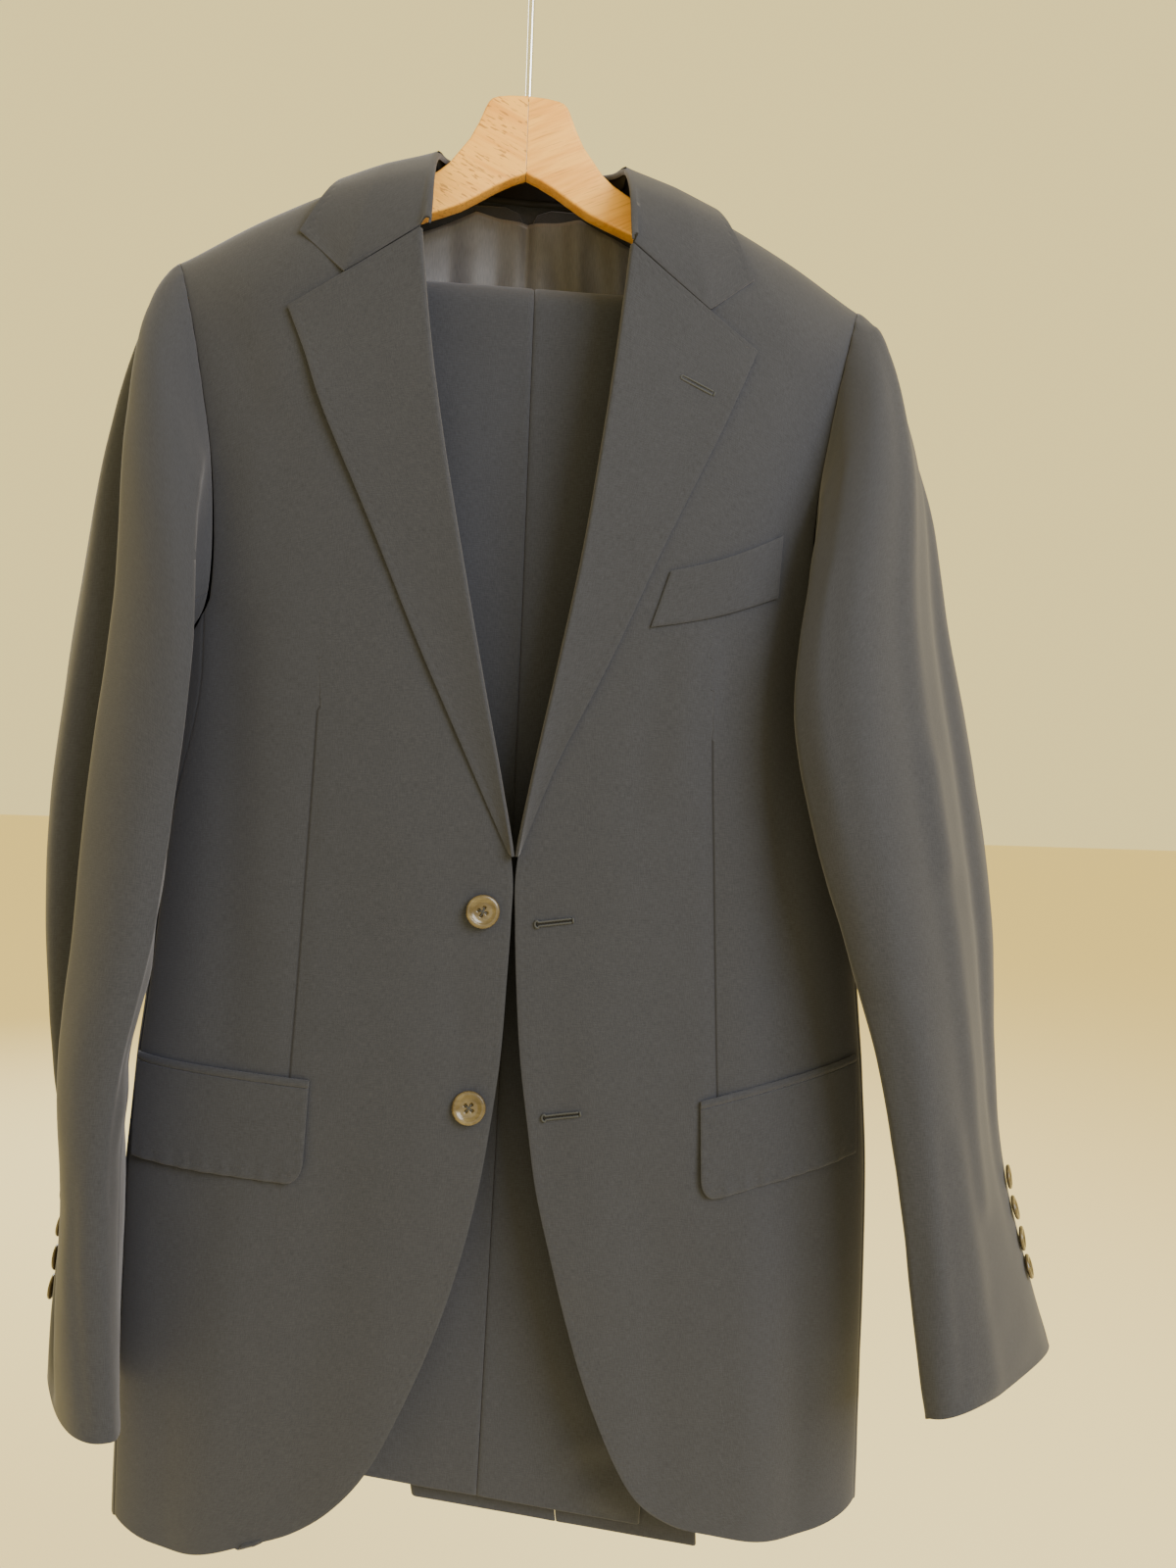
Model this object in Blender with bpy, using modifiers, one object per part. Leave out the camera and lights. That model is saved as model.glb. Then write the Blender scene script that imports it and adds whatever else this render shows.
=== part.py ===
# A two-button suit on a wooden hanger: jacket hung open, trousers folded over the hanger's bar.
# Origin: the point inside the hook that rests on the rail. Front faces -Y, +Z is up, metres.
import math

import bpy
import bmesh
from mathutils import Vector

MM = 0.001

# Heights below are measured from a level 98 mm above the hanger's wood.
# The point of the hook that rests on the rail, the origin, is this far above that level.
HOOK_RISE = 30.0

# Driving sizes, in millimetres
CLOTH = 1.2             # wall of wool with its canvas
SEAM = 0.3              # gap between two pieces at a seam
LIFT = 1.9              # outer face of a piece that lies on a panel, above the panel's outer face
SHOULDER_ROUND = 70.0   # drop over which the shoulder rounds from the seam to the full chest depth
FULLNESS = 0.8          # exponent of the body section: 1 is an ellipse, less is squarer
SIDE_SHARE = 0.91       # share of the half width at which the side panel starts
HEM_Z = -978.0
UNDERARM_Z = -450.0
SEAM_TOP_Z = -433.0     # where the side seam meets the armhole
HEM_BOW = 9.0           # how far the front hem dips between the cutaway and the side seam
SHOULDER_GAP = 0.45     # half the gap at the shoulder seam
SEAM_INSET = 0.35       # how far a side seam's edges stand back from the seam line

HOOK_WIRE = 4.0
HOOK_INNER = 19.0       # inner radius of the hook
HEAD_TOP_Z = -98.0      # top of the hanger's wood
WOOD = 12.0             # thickness of the hanger's wood
WOOD_ROUND = 1.5
BAR = 11.0              # diameter of the trouser bar
BAR_Z = -237.0
BAR_HALF = 178.0
HANGER_X = -3.5

# Body sections: height, half width, depth of the front, depth of the back, sideways swing
BODY_COLUMNS = ("z", "half", "front", "back", "swing")
BODY_ROWS = (
    (-985, 232.5, 51, 47, 5.5),
    (-778, 232.0, 51, 46, 5.5),
    (-708, 227.5, 51, 45, 5.5),
    (-658, 222.5, 50, 43, 5.5),
    (-608, 218.0, 50, 42, 5.5),
    (-528, 209.0, 52, 43, 3.0),
    (-448, 204.0, 55, 46, 0.0),
    (-378, 205.0, 56, 50, 0.0),
    (-308, 212.0, 55, 52, 0.5),
    (-219, 223.0, 50, 50, 2.0),
    (-100, 226.0, 50, 50, 2.0),
)

# Shoulder line: distance from the middle, height
SHOULDER_COLUMNS = ("x", "z")
SHOULDER_ROWS = ((0, -115), (35, -130), (70, -147), (115, -166), (164, -190), (208, -215), (225, -222))

# Armhole seam: height, distance from the middle
ARMHOLE_COLUMNS = ("z", "x")
ARMHOLE_ROWS = ((-450, 204), (-446, 193), (-433, 184), (-410, 180.5), (-374, 181), (-339, 184),
                (-304, 190), (-264, 198), (-229, 208), (-218, 213))

# Front edge: its height, how far it stands out on the left and on the right, and the
# height at which the same line of cloth meets the side seam or the armhole
EDGE_COLUMNS = ("step", "z", "left", "right", "side_z")
EDGE_ROWS = (
    (0, -979, 140, 136, -976),
    (1, -972, 114, 111, -971),
    (2, -957, 91, 90, -962),
    (3, -932, 70, 74, -944),
    (4, -890, 49, 56, -900),
    (5, -850, 33, 43, -854),
    (6, -810, 21, 32, -812),
    (7, -770, 12, 22, -771),
    (8, -730, 6, 15.5, -731),
    (9, -690, 1.5, 11, -691),
    (10, -650, -0.5, 8, -650),
    (11, -610, -2, 6, -610),
    (12, -578, -1.5, 5.5, -578),
    (13, -528, 8, 13, -530),
    (14, -468, 21, 23.5, -480),
    (15, -395, 36, 37, -433),
    (16, -328, 49, 46.5, -378),
    (17, -272, 58, 53.5, -323),
    (18, -210, 65, 60, -270),
    (19, -146, 69, 65, -217),
)
TOP_STEPS = (18.35, 18.65, 18.85, 18.95, 19)

# Outer edge of the lapel beside the roll line: height of the roll, outer edge of each side
LAPEL_COLUMNS = ("step", "roll_z", "edge_z", "left", "right")
LAPEL_ROWS = (
    (0, -572, -570, 1.5, 7.5),
    (1, -520, -516, 27, 26),
    (2, -455, -452, 57, 56),
    (3, -385, -386, 86, 84),
    (4, -310, -320, 116, 114),
    (5, -262, -288, 128, 127),
    (6, -208, -260, 140, 138),
)
LAPEL_LEAN = 4.0        # the left tip sits this much higher and the right one lower

# Sleeve sections, outward distances: middle height, tilt, front corner, back corner, fullness
SLEEVE_COLUMNS = ("step", "z", "tilt", "front_x", "front_y", "back_x", "back_y", "inside", "outside")
SLEEVE_LEFT = (
    (1, -358, 103, 190, -44, 214, 44, -11, 24),
    (2, -403, 74, 190, -58, 240, 45, -3, 30),
    (3, -470, 44, 192, -68, 258, 40, 9, 32),
    (4, -548, 12, 195, -75, 264, 32, 13, 33),
    (5, -620, 2, 201, -79, 264, 24, 15, 32),
    (6, -700, 0, 218, -84, 252, 14, 13, 27),
    (7, -770, 0, 220, -89, 242, 8, 13, 22),
    (8, -840, 0, 212, -92, 248, 10, 12, 24),
    (9, -890, 3, 206, -94, 256, 14, 12, 22),
)
SLEEVE_RIGHT = (
    (1, -358, 103, 188, -46, 216, 44, -11, 26),
    (2, -403, 74, 180, -61, 252, 42, -2, 36),
    (3, -470, 44, 172, -71, 278, 32, 10, 40),
    (4, -548, 16, 182, -78, 297, 20, 14, 38),
    (5, -620, 6, 202, -80, 308, 14, 15, 34),
    (6, -690, 4, 222, -84, 311, 8, 14, 28),
    (7, -760, 5, 234, -88, 318, 4, 13, 25),
    (8, -830, 7, 243, -91, 337, 2, 12, 25),
    (9, -884, 9, 250, -94, 356, 0, 12, 24),
)
# Long folds pressed into the sleeves: place round the sleeve, half width in degrees,
# depth, and the sections between which the fold runs
FOLD_COLUMNS = ("turn", "spread", "deep", "start", "end")
SLEEVE_FOLDS = {
    "left": ((38, 22, 11, 0.9, 8.6), (-20, 20, 3, 3.5, 7.0)),
    "right": ((66, 16, 7, 0.4, 4.2), (20, 26, 4, 3.0, 8.0)),
}
TOPSLEEVE_FROM = -48.0  # back seam, degrees round the sleeve from its outer line
TOPSLEEVE_TO = 140.0    # front seam
SLEEVE_INSET = 0.7      # how far the sleeve's edges stand back from their seam line
UNDERARM_CLEAR = 2.8    # and how far it stands off the side below the armhole
SLEEVE_CLEAR = 1.3      # gap between the armhole and the sleeve head
SLEEVE_STEPS = (0.04, 0.3, 0.65, 1, 1.5, 2, 2.6, 3.2, 3.8, 4.4, 5, 5.6, 6.3, 7, 7.5, 8, 8.5, 9)

# Collar, from the gorge to the middle of the back: fold point, then leaf points on the body
COLLAR_COLUMNS = ("step", "fold_x", "fold_y", "fold_z", "mid_x", "mid_drop", "edge_x", "edge_drop")
COLLAR_ROWS = (
    (0, 63, -58, -204, 108, 78, 136, 39),
    (1, 62, -45, -172, 98, 36, 124, 20),
    (2, 60, -18, -142, 88, 0, 112, 0),
    (3, 55, 8, -134, 74, -20, 90, -26),
    (4, 33, 31, -127, 44, -38, 53, -48),
    (5, 0, 38, -124, 0, -48, 0, -68),
)
COLLAR_LEAN = 5.0       # the left notch sits this much higher and the right one lower
COLLAR_LIFT = 6.5       # how far the leaf stands off the shoulder
STAND_COLUMNS = ("step", "x", "y", "z")
STAND_FOOT = ((0, 60, -12, -146), (1, 57, 10, -147), (2, 34, 33, -147), (3, 0, 40, -146))
STAND_REACH = 0.94      # share of the way up to the collar's fold that the stand reaches
STAND_NARROW = 0.965    # width of the stand's top, as a share of the fold's
STAND_CLEAR = 2.2       # and how far in front of the fold it is
LINING_HALF = 118.0     # half width and foot of the back lining that shows
LINING_FOOT_Z = -330.0
LINING_TOP_Z = -150.0
LINING_UNDER_SHOULDER = 24.0
LABEL_WIDE = 52.0
LABEL_FOOT = 0.18       # where the label starts on the stand, and its height, as shares
LABEL_HIGH = 0.62

# Middle line and neckline of the back: how far out and how high, for the same rows of cloth
BACK_COLUMNS = ("step", "x", "z")
BACK_EDGE = ((12, 0, -578), (13, 0, -500), (14, 0, -440), (15, 0, -380), (16, 0, -310),
             (17, 0, -230), (17.6, 0, -180), (18, 6, -150), (18.5, 42, -150.5), (19, 68, -147.5))

# Flap: where it starts and ends, height of its top at each end, and its depth
FLAP_DEPTH = 56.0
FLAP_CORNER = 14.0
FLAPS = {"left": (112, -711, 216, -702), "right": (119, -721, 222, -697)}
JETTING = 5.0
WELT = ((78, -434), (157, -411), (159, -373), (89, -400))   # lower and upper corners
WELT_SIDE_BOW = 3.0

# Buttons: diameter, thickness
FRONT_BUTTON = (20.0, 3.2)
CUFF_BUTTON = (15.0, 2.8)
FRONT_BUTTONS = ((-15, -605), (-19, -720))
CUFF_BUTTON_TURN = -36.0
CUFF_BUTTON_FIRST = 88.0    # height of the lowest cuff button above the cuff's edge, along the sleeve
CUFF_BUTTON_STEP = 17.0
SLEEVE_ROW_STEP = 62.0      # length of sleeve from one section to the next near the cuff

# Trouser legs over the bar: distance along the leg from the hem, left and right edge.
# Near leg lies outside, far leg inside, both run from the hem in front to the waist behind.
LEG_COLUMNS = ("run", "left", "right")
NEAR_LEG = ((0, -108, 96), (250, -108, 106), (450, -115, 120), (740, -138, 146),
            (850, -148, 158), (930, -128, 150), (1050, -108, 136))
FAR_LEG = ((0, -46, 134), (250, -90, 118), (450, -112, 124), (740, -136, 148),
           (850, -146, 160), (930, -126, 152), (1050, -106, 138))
FRONT_DROP = 731.0      # bar top to the middle of the hem in front
LEG_LENGTH = 1050.0
LEG_PUFF = 3.0          # half thickness of a pressed leg
NEAR_OUT = 10.4         # middle of each leg's cloth above the bar's surface
FAR_OUT = 3.6
LEG_HEM_SLOPE = -0.2    # the hem is cut longer at the heel
LEG_SLOPE_RUN = 200.0
WAISTBAND = 40.0
LEG_STEPS = 15

COLOURS = {
    "navy_wool": ((0.060, 0.066, 0.078, 1), 0.86, 0.0),
    "lining_satin": ((0.16, 0.15, 0.165, 1), 0.45, 0.0),
    "label_satin": ((0.02, 0.02, 0.022, 1), 0.5, 0.0),
    "horn": ((0.16, 0.11, 0.06, 1), 0.3, 0.0),
    "beech": ((0.70, 0.42, 0.17, 1), 0.45, 0.0),
    "chrome": ((0.75, 0.75, 0.76, 1), 0.15, 1.0),
}


# Reading tables
def read(columns, rows, name, at):
    # smooth curve through one column, by the first column
    place = columns.index(name)
    low = 0 if rows[0][0] < rows[-1][0] else 1
    rows = rows if low == 0 else rows[::-1]
    at = min(max(at, rows[0][0]), rows[-1][0])
    step = 0
    while step < len(rows) - 2 and at > rows[step + 1][0]:
        step += 1
    before, start = rows[max(step - 1, 0)], rows[step]
    end, after = rows[step + 1], rows[min(step + 2, len(rows) - 1)]
    width = end[0] - start[0]
    share = (at - start[0]) / width
    slope_in = (end[place] - before[place]) / (end[0] - before[0]) * width
    slope_out = (after[place] - start[place]) / (after[0] - start[0]) * width
    curve = 2 * share ** 3 - 3 * share ** 2
    return ((curve + 1) * start[place] - curve * end[place]
            + (share ** 3 - 2 * share ** 2 + share) * slope_in
            + (share ** 3 - share ** 2) * slope_out)


def body(name, z):
    return read(BODY_COLUMNS, BODY_ROWS, name, z)


def shoulder(x):
    return read(SHOULDER_COLUMNS, SHOULDER_ROWS, "z", abs(x))


def armhole(z):
    return read(ARMHOLE_COLUMNS, ARMHOLE_ROWS, "x", z)


def rounded(drop):
    # share of the full depth reached so far below the shoulder line
    share = min(max(drop / SHOULDER_ROUND, 0), 1)
    return math.sqrt(1 - (1 - share) ** 2)


def depth(x, z, face):
    # distance from the middle plane to the cloth, in front ("front") or behind ("back")
    share = min(abs(x - body("swing", z)) / body("half", z), 1)
    turn = math.acos(share ** (1 / FULLNESS))
    return body(face, z) * math.sin(turn) ** FULLNESS * rounded(shoulder(x) - z)


def panel_point(face, x, z, lift=0.0):
    # on the cloth in front or behind, moved straight out from it by the lift
    way = -1 if face == "front" else 1
    point = Vector((x, way * max(depth(x, z, face), SHOULDER_GAP), z))
    if lift:
        aside = depth(x + 0.5, z, face) - depth(x - 0.5, z, face)
        point += Vector((-aside, way, 0)).normalized() * lift
    return point


def front_point(x, z, lift=0.0):
    return panel_point("front", x, z, lift)


def back_point(x, z, lift=0.0):
    return panel_point("back", x, z, lift)


def across_panel(x_in, z_in, x_out, z_out, share, bend):
    # a place on a line of cloth, which bends with the shoulder line as it nears it
    x = x_in + (x_out - x_in) * share
    straight = z_in + (z_out - z_in) * share
    drop_in, drop_out = shoulder(x_in) - z_in, shoulder(x_out) - z_out
    bent = shoulder(x) - (drop_in + (drop_out - drop_in) * share)
    return x, straight + (bent - straight) * bend


def side_point(side, turn, z):
    # round the side of the body, turn in radians from the outermost line, front negative
    face = "front" if turn < 0 else "back"
    x = body("swing", z) + side * body("half", z) * math.cos(turn) ** FULLNESS
    y = math.copysign(body(face, z) * abs(math.sin(turn)) ** FULLNESS, turn)
    return Vector((x, y, z))


def over_shoulder(x, drop, lift):
    # a point on the body near the shoulder line, drop is positive in front and negative behind
    face = "front" if drop > 0 else "back"
    z = shoulder(x) - abs(drop)
    share = min(abs(drop) / SHOULDER_ROUND, 1)
    turn = math.acos(1 - share)
    y = depth(x, z, face) + lift * math.sin(turn)
    return Vector((x, -math.copysign(y, drop), z + lift * math.cos(turn)))


# Making objects
def placed(point):
    return (point - Vector((0, 0, HOOK_RISE))) * MM


def material(name):
    if name in bpy.data.materials:
        return bpy.data.materials[name]
    colour, roughness, metallic = COLOURS[name]
    made = bpy.data.materials.new(name)
    made.use_nodes = True
    shader = made.node_tree.nodes["Principled BSDF"]
    shader.inputs["Base Color"].default_value = colour
    shader.inputs["Roughness"].default_value = roughness
    shader.inputs["Metallic"].default_value = metallic
    return made


def collect(name, data, finish):
    made = bpy.data.objects.new(name, data)
    data.materials.append(material(finish))
    suit.objects.link(made)
    return made


def mesh_object(name, bm, finish):
    mesh = bpy.data.meshes.new(name)
    bm.to_mesh(mesh)
    bm.free()
    mesh.materials.clear()
    mesh.shade_smooth()
    return collect(name, mesh, finish)


def cloth(name, across, steps, place, outward, finish="navy_wool", wall=CLOTH, closed=False):
    # a sheet of cloth: a grid whose points are placed in millimetres, thickened inwards
    bm = bmesh.new()
    bmesh.ops.create_grid(bm, x_segments=across, y_segments=len(steps) - 1, size=0.5)
    for vert in bm.verts:
        row = round((vert.co.y + 0.5) * (len(steps) - 1))
        vert.co = placed(place(vert.co.x + 0.5, steps[row]))
    if closed:
        bmesh.ops.remove_doubles(bm, verts=bm.verts, dist=0.00001)
    bm.normal_update()
    middle = sum((vert.co for vert in bm.verts), Vector()) / len(bm.verts)
    facing = sum((face.normal.dot(outward or face.calc_center_median() - middle)
                  for face in bm.faces))
    if facing < 0:
        bmesh.ops.reverse_faces(bm, faces=bm.faces)
    made = mesh_object(name, bm, finish)
    shell = made.modifiers.new("wall", "SOLIDIFY")
    shell.thickness = wall * MM
    shell.offset = -1
    return made


def even(count):
    return [step / count for step in range(count + 1)]


# Jacket body
def edge(name, step):
    return read(EDGE_COLUMNS, EDGE_ROWS, name, step)


def side_seam(side, z):
    # where a front or back panel ends: at the side seam, or above it at the armhole
    if z < SEAM_TOP_Z:
        return body("swing", z) + side * (SIDE_SHARE * body("half", z) - SEAM_INSET)
    return side * (armhole(z) - SEAM / 2)


def front_panel(hand):
    side = -1 if hand == "left" else 1

    def place(across, step):
        z_in, z_out = edge("z", step), edge("side_z", step)
        x_in = side * (edge(hand, step) + SEAM / 2)
        bend = min(max((step - 14) / 4, 0), 1)
        x, z = across_panel(x_in, z_in, side_seam(side, z_out), z_out, across, bend)
        z -= HEM_BOW * math.sin(math.pi * across) * max(1 - step / 4, 0)
        return front_point(x, z)

    steps = tuple(range(19)) + TOP_STEPS
    cloth("front_" + hand, 9, steps, place, Vector((0, -1, 0)))


def side_panel(hand):
    side = -1 if hand == "left" else 1
    seam = math.acos(SIDE_SHARE ** (1 / FULLNESS))

    def place(across, step):
        turn = seam * (2 * across - 1) * (1 - SEAM_INSET / 45)
        top = UNDERARM_Z + (SEAM_TOP_Z - UNDERARM_Z) * (2 * across - 1) ** 6 - SEAM
        return side_point(side, turn, HEM_Z + (top - HEM_Z) * step)

    cloth("side_" + hand, 8, even(11), place, Vector((side, 0, 0)))


def back_panel(hand):
    side = -1 if hand == "left" else 1

    def place(across, step):
        z_out = edge("side_z", step)
        z_in = z_out if step < 12 else read(BACK_COLUMNS, BACK_EDGE, "z", step)
        neck = 0 if step < 17.6 else read(BACK_COLUMNS, BACK_EDGE, "x", step)
        x_in = body("swing", z_in) * min(max((-200 - z_in) / 200, 0), 1) + side * (neck + SEAM)
        bend = min(max((step - 14) / 4, 0), 1)
        x, z = across_panel(x_in, z_in, side_seam(side, z_out), z_out, across, bend)
        return back_point(x, z)

    steps = (0, 3, 5, 7, 9, 11, 12, 13, 14, 15, 16, 17, 17.6, 18) + TOP_STEPS
    cloth("back_" + hand, 7, steps, place, Vector((0, 1, 0)))


# Lapels, collar and stand
def lapel(hand):
    side = -1 if hand == "left" else 1
    last = LAPEL_ROWS[-1][0]

    def place(across, step):
        roll_z = read(LAPEL_COLUMNS, LAPEL_ROWS, "roll_z", step)
        edge_z = read(LAPEL_COLUMNS, LAPEL_ROWS, "edge_z", step)
        roll_step = min(range(12, 19), key=lambda n: abs(EDGE_ROWS[n][1] - roll_z))
        low, high = EDGE_ROWS[roll_step - 1], EDGE_ROWS[min(roll_step + 1, 19)]
        column = EDGE_COLUMNS.index(hand)
        near = EDGE_ROWS[roll_step]
        other = high if roll_z > near[1] else low
        share = (roll_z - near[1]) / (other[1] - near[1])
        roll = near[column] + (other[column] - near[column]) * share
        out = read(LAPEL_COLUMNS, LAPEL_ROWS, hand, step)
        x = roll + (out - roll) * across
        z = roll_z + (edge_z - roll_z) * across
        z -= side * LAPEL_LEAN * across * (step / last) ** 2
        lift = LIFT + 3.5 * (1 - across) ** 2
        return front_point(side * x, z, lift)

    steps = [last * step / 14 for step in range(15)]
    cloth("lapel_" + hand, 6, steps, place, Vector((0, -1, 0)))


def collar():
    last = COLLAR_ROWS[-1][0]

    def place(across, along):
        side = 1 if along > 0 else -1
        step = last - abs(along)

        def at(name):
            return read(COLLAR_COLUMNS, COLLAR_ROWS, name, step)

        lean = side * COLLAR_LEAN * max(1 - step / 2, 0)
        over = COLLAR_LIFT * min(max(step - 0.3, 0), 1)
        fold = Vector((side * at("fold_x"), at("fold_y"), at("fold_z")))
        mid = over_shoulder(side * at("mid_x"), at("mid_drop"), 2 * LIFT + 1 + over)
        rim = over_shoulder(side * at("edge_x"), at("edge_drop") + lean, LIFT + 2 + over * 0.8)
        return fold.lerp(mid, across * 2) if across <= 0.5 else mid.lerp(rim, across * 2 - 1)

    steps = [last * (step / 11 - 1) for step in range(23)]
    cloth("collar", 4, steps, place, Vector((0, 0, 1)))


def stand_point(across, along, inward=0.0):
    side = 1 if along > 0 else -1
    step = STAND_FOOT[-1][0] - abs(along)
    foot = Vector([read(STAND_COLUMNS, STAND_FOOT, name, step) for name in ("x", "y", "z")])
    head = Vector([read(COLLAR_COLUMNS, COLLAR_ROWS, name, 2 + step)
                   for name in ("fold_x", "fold_y", "fold_z")])
    head.y -= STAND_CLEAR
    head.x *= STAND_NARROW
    point = foot.lerp(head, across * STAND_REACH)
    point.x *= side
    point.y -= inward
    return point


def stand():
    last = STAND_FOOT[-1][0]
    steps = [last * (step / 7 - 1) for step in range(15)]
    cloth("collar_stand", 2, steps, stand_point, Vector((0, 1, 0)))


def neck_lining():
    def place(across, step):
        x = (2 * across - 1) * LINING_HALF
        top = min(shoulder(x) - LINING_UNDER_SHOULDER, LINING_TOP_Z - 6 * (1 - abs(2 * across - 1)))
        z = LINING_FOOT_Z + (top - LINING_FOOT_Z) * step
        return back_point(x, z, -LIFT - 0.7)

    cloth("neck_lining", 10, even(6), place, Vector((0, 1, 0)), "lining_satin", 1.0)


def label():
    reach = LABEL_WIDE / 2 / STAND_FOOT[2][1]

    def place(across, along):
        return stand_point(LABEL_FOOT + LABEL_HIGH * across, along * reach, CLOTH + 0.5)

    cloth("neck_label", 1, (-1, -0.5, 0.5, 1), place, Vector((0, 1, 0)), "label_satin", 1.0)


# Sleeves
def fold_depth(fold, turn, step):
    fold = dict(zip(FOLD_COLUMNS, fold))
    away = abs((turn - fold["turn"] + 180) % 360 - 180) / fold["spread"]
    run = (step - fold["start"]) / (fold["end"] - fold["start"])
    if away > 2 or not 0 < run < 1:
        return 0.0
    return fold["deep"] * math.exp(-2 * away ** 2) * math.sin(math.pi * run) ** 0.5


def sleeve_point(hand, turn, step):
    # turn in degrees round the sleeve: 0 is the outer line, 90 the front, 180 the inner line
    side = -1 if hand == "left" else 1
    rows = SLEEVE_LEFT if hand == "left" else SLEEVE_RIGHT
    angle = math.radians(turn)
    out, ahead = math.cos(angle), math.sin(angle)

    def ring(number):
        if number == 0:
            z = (-217.5 + UNDERARM_Z) / 2 + (-217.5 - UNDERARM_Z) / 2 * out
            face = "front" if ahead > 0 else "back"
            point = panel_point(face, side * armhole(z), z, UNDERARM_CLEAR * max(-out, 0))
            return Vector((side * point.x + SLEEVE_CLEAR, point.y, z + SLEEVE_CLEAR * out))
        row = dict(zip(SLEEVE_COLUMNS, rows[number - 1]))
        front = Vector((row["front_x"], row["front_y"], 0))
        back = Vector((row["back_x"], row["back_y"], 0))
        along = (front - back) / 2
        outward = Vector((-along.y, along.x, 0)).normalized()
        full = row["outside"] if out > 0 else row["inside"]
        for fold in SLEEVE_FOLDS[hand]:
            full -= fold_depth(fold, turn, number)
        point = (front + back) / 2
        point += along * math.copysign(abs(ahead) ** FULLNESS, ahead)
        point += outward * full * math.copysign(abs(out) ** FULLNESS, out)
        point.z = row["z"] + row["tilt"] * out
        return point

    number = min(int(step), len(rows) - 1)
    share = step - number
    points = [ring(min(max(number + n, 0), len(rows))) for n in (-1, 0, 1, 2)]
    slope_in = (points[2] - points[0]) / 2
    slope_out = (points[3] - points[1]) / 2
    curve = 2 * share ** 3 - 3 * share ** 2
    point = (points[1] * (curve + 1) - points[2] * curve
             + slope_in * (share ** 3 - 2 * share ** 2 + share)
             + slope_out * (share ** 3 - share ** 2))
    point.x *= side
    return point


def sleeve(hand):
    side = -1 if hand == "left" else 1
    pieces = (("topsleeve_", TOPSLEEVE_FROM, TOPSLEEVE_TO, side),
              ("undersleeve_", TOPSLEEVE_TO, 360 + TOPSLEEVE_FROM, -side))
    for name, start, end, out in pieces:
        def place(across, step):
            first, last = sleeve_point(hand, start, step), sleeve_point(hand, end, step)
            low = SLEEVE_INSET / (sleeve_point(hand, start + 1, step) - first).length
            high = SLEEVE_INSET / (last - sleeve_point(hand, end - 1, step)).length
            return sleeve_point(hand, start + low + (end - start - low - high) * across, step)

        cloth(name + hand, 11 if out == side else 8, SLEEVE_STEPS, place, Vector((out, 0, 0)))


# Pockets
def flap(hand):
    side = -1 if hand == "left" else 1
    x_in, z_in, x_out, z_out = FLAPS[hand]

    def place(across, down):
        drop = FLAP_DEPTH * down
        short = max(drop - (FLAP_DEPTH - FLAP_CORNER), 0) / FLAP_CORNER
        start = x_in + 2 * down + FLAP_CORNER * (1 - math.sqrt(1 - min(short, 1) ** 2)) * 0.7
        x = start + (x_out - start) * across
        z = z_in + (z_out - z_in) * (x - x_in) / (x_out - x_in) - drop
        return front_point(side * x, z, LIFT + 0.25 + 1.2 * down)

    cloth("flap_" + hand, 10, (0, 0.25, 0.5, 0.75, 0.85, 0.93, 0.98, 1), place, Vector((0, -1, 0)))

    def strip(across, up):
        x = x_in + (x_out - x_in) * across
        z = z_in + (z_out - z_in) * across + SEAM + JETTING * up
        return front_point(side * x, z, LIFT + 0.25)

    cloth("flap_welt_" + hand, 10, even(1), strip, Vector((0, -1, 0)))


def breast_welt():
    low_in, low_out, high_out, high_in = [Vector((x, z)) for x, z in WELT]

    def place(across, up):
        low = low_in.lerp(low_out, across)
        high = high_in.lerp(high_out, across)
        spot = low.lerp(high, up)
        spot.y -= WELT_SIDE_BOW * math.sin(math.pi * across)
        return front_point(spot.x, spot.y, LIFT)

    cloth("breast_welt", 6, even(2), place, Vector((0, -1, 0)))


# Buttons
def button(name, size, point, facing):
    # turned round: flat back with a short shank, domed rim and a dished face
    diameter, thick = size
    radius = diameter / 2
    profile = ((0.0, thick * 0.72), (radius * 0.55, thick * 0.72), (radius * 0.75, thick),
               (radius, thick * 0.6), (radius * 0.8, thick * 0.2), (radius * 0.3, 0.0), (0.0, 0.0))
    mesh = bpy.data.meshes.new(name)
    points = [(x * MM, 0, z * MM) for x, z in profile]
    edges = [(step, step + 1) for step in range(len(points) - 1)]
    mesh.from_pydata(points, edges, [])
    made = collect(name, mesh, "horn")
    turned = made.modifiers.new("turned", "SCREW")
    turned.steps = 12
    turned.render_steps = 12
    turned.use_merge_vertices = True
    turned.merge_threshold = 0.00002
    turned.use_smooth_shade = True
    made.location = placed(point)
    made.rotation_euler = facing.to_track_quat("Z", "Y").to_euler()
    return made


def buttons():
    for number, (x, z) in enumerate(FRONT_BUTTONS, 1):
        point = front_point(x, z, SEAM)
        button("front_button_%d" % number, FRONT_BUTTON, point, Vector((0, -1, 0)))
    for hand in ("left", "right"):
        last = len(SLEEVE_LEFT)
        for number in range(4):
            up = (CUFF_BUTTON_FIRST + (number - 1.5) * CUFF_BUTTON_STEP) / SLEEVE_ROW_STEP
            step = last - up
            here = sleeve_point(hand, CUFF_BUTTON_TURN, step)
            round_it = sleeve_point(hand, CUFF_BUTTON_TURN + 4, step) - here
            down = sleeve_point(hand, CUFF_BUTTON_TURN, step + 0.05) - here
            facing = round_it.cross(down).normalized()
            if facing.x * (-1 if hand == "left" else 1) < 0:
                facing = -facing
            name = "cuff_button_%s_%d" % (hand, number + 1)
            button(name, CUFF_BUTTON, here + facing * 0.4, facing)


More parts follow.
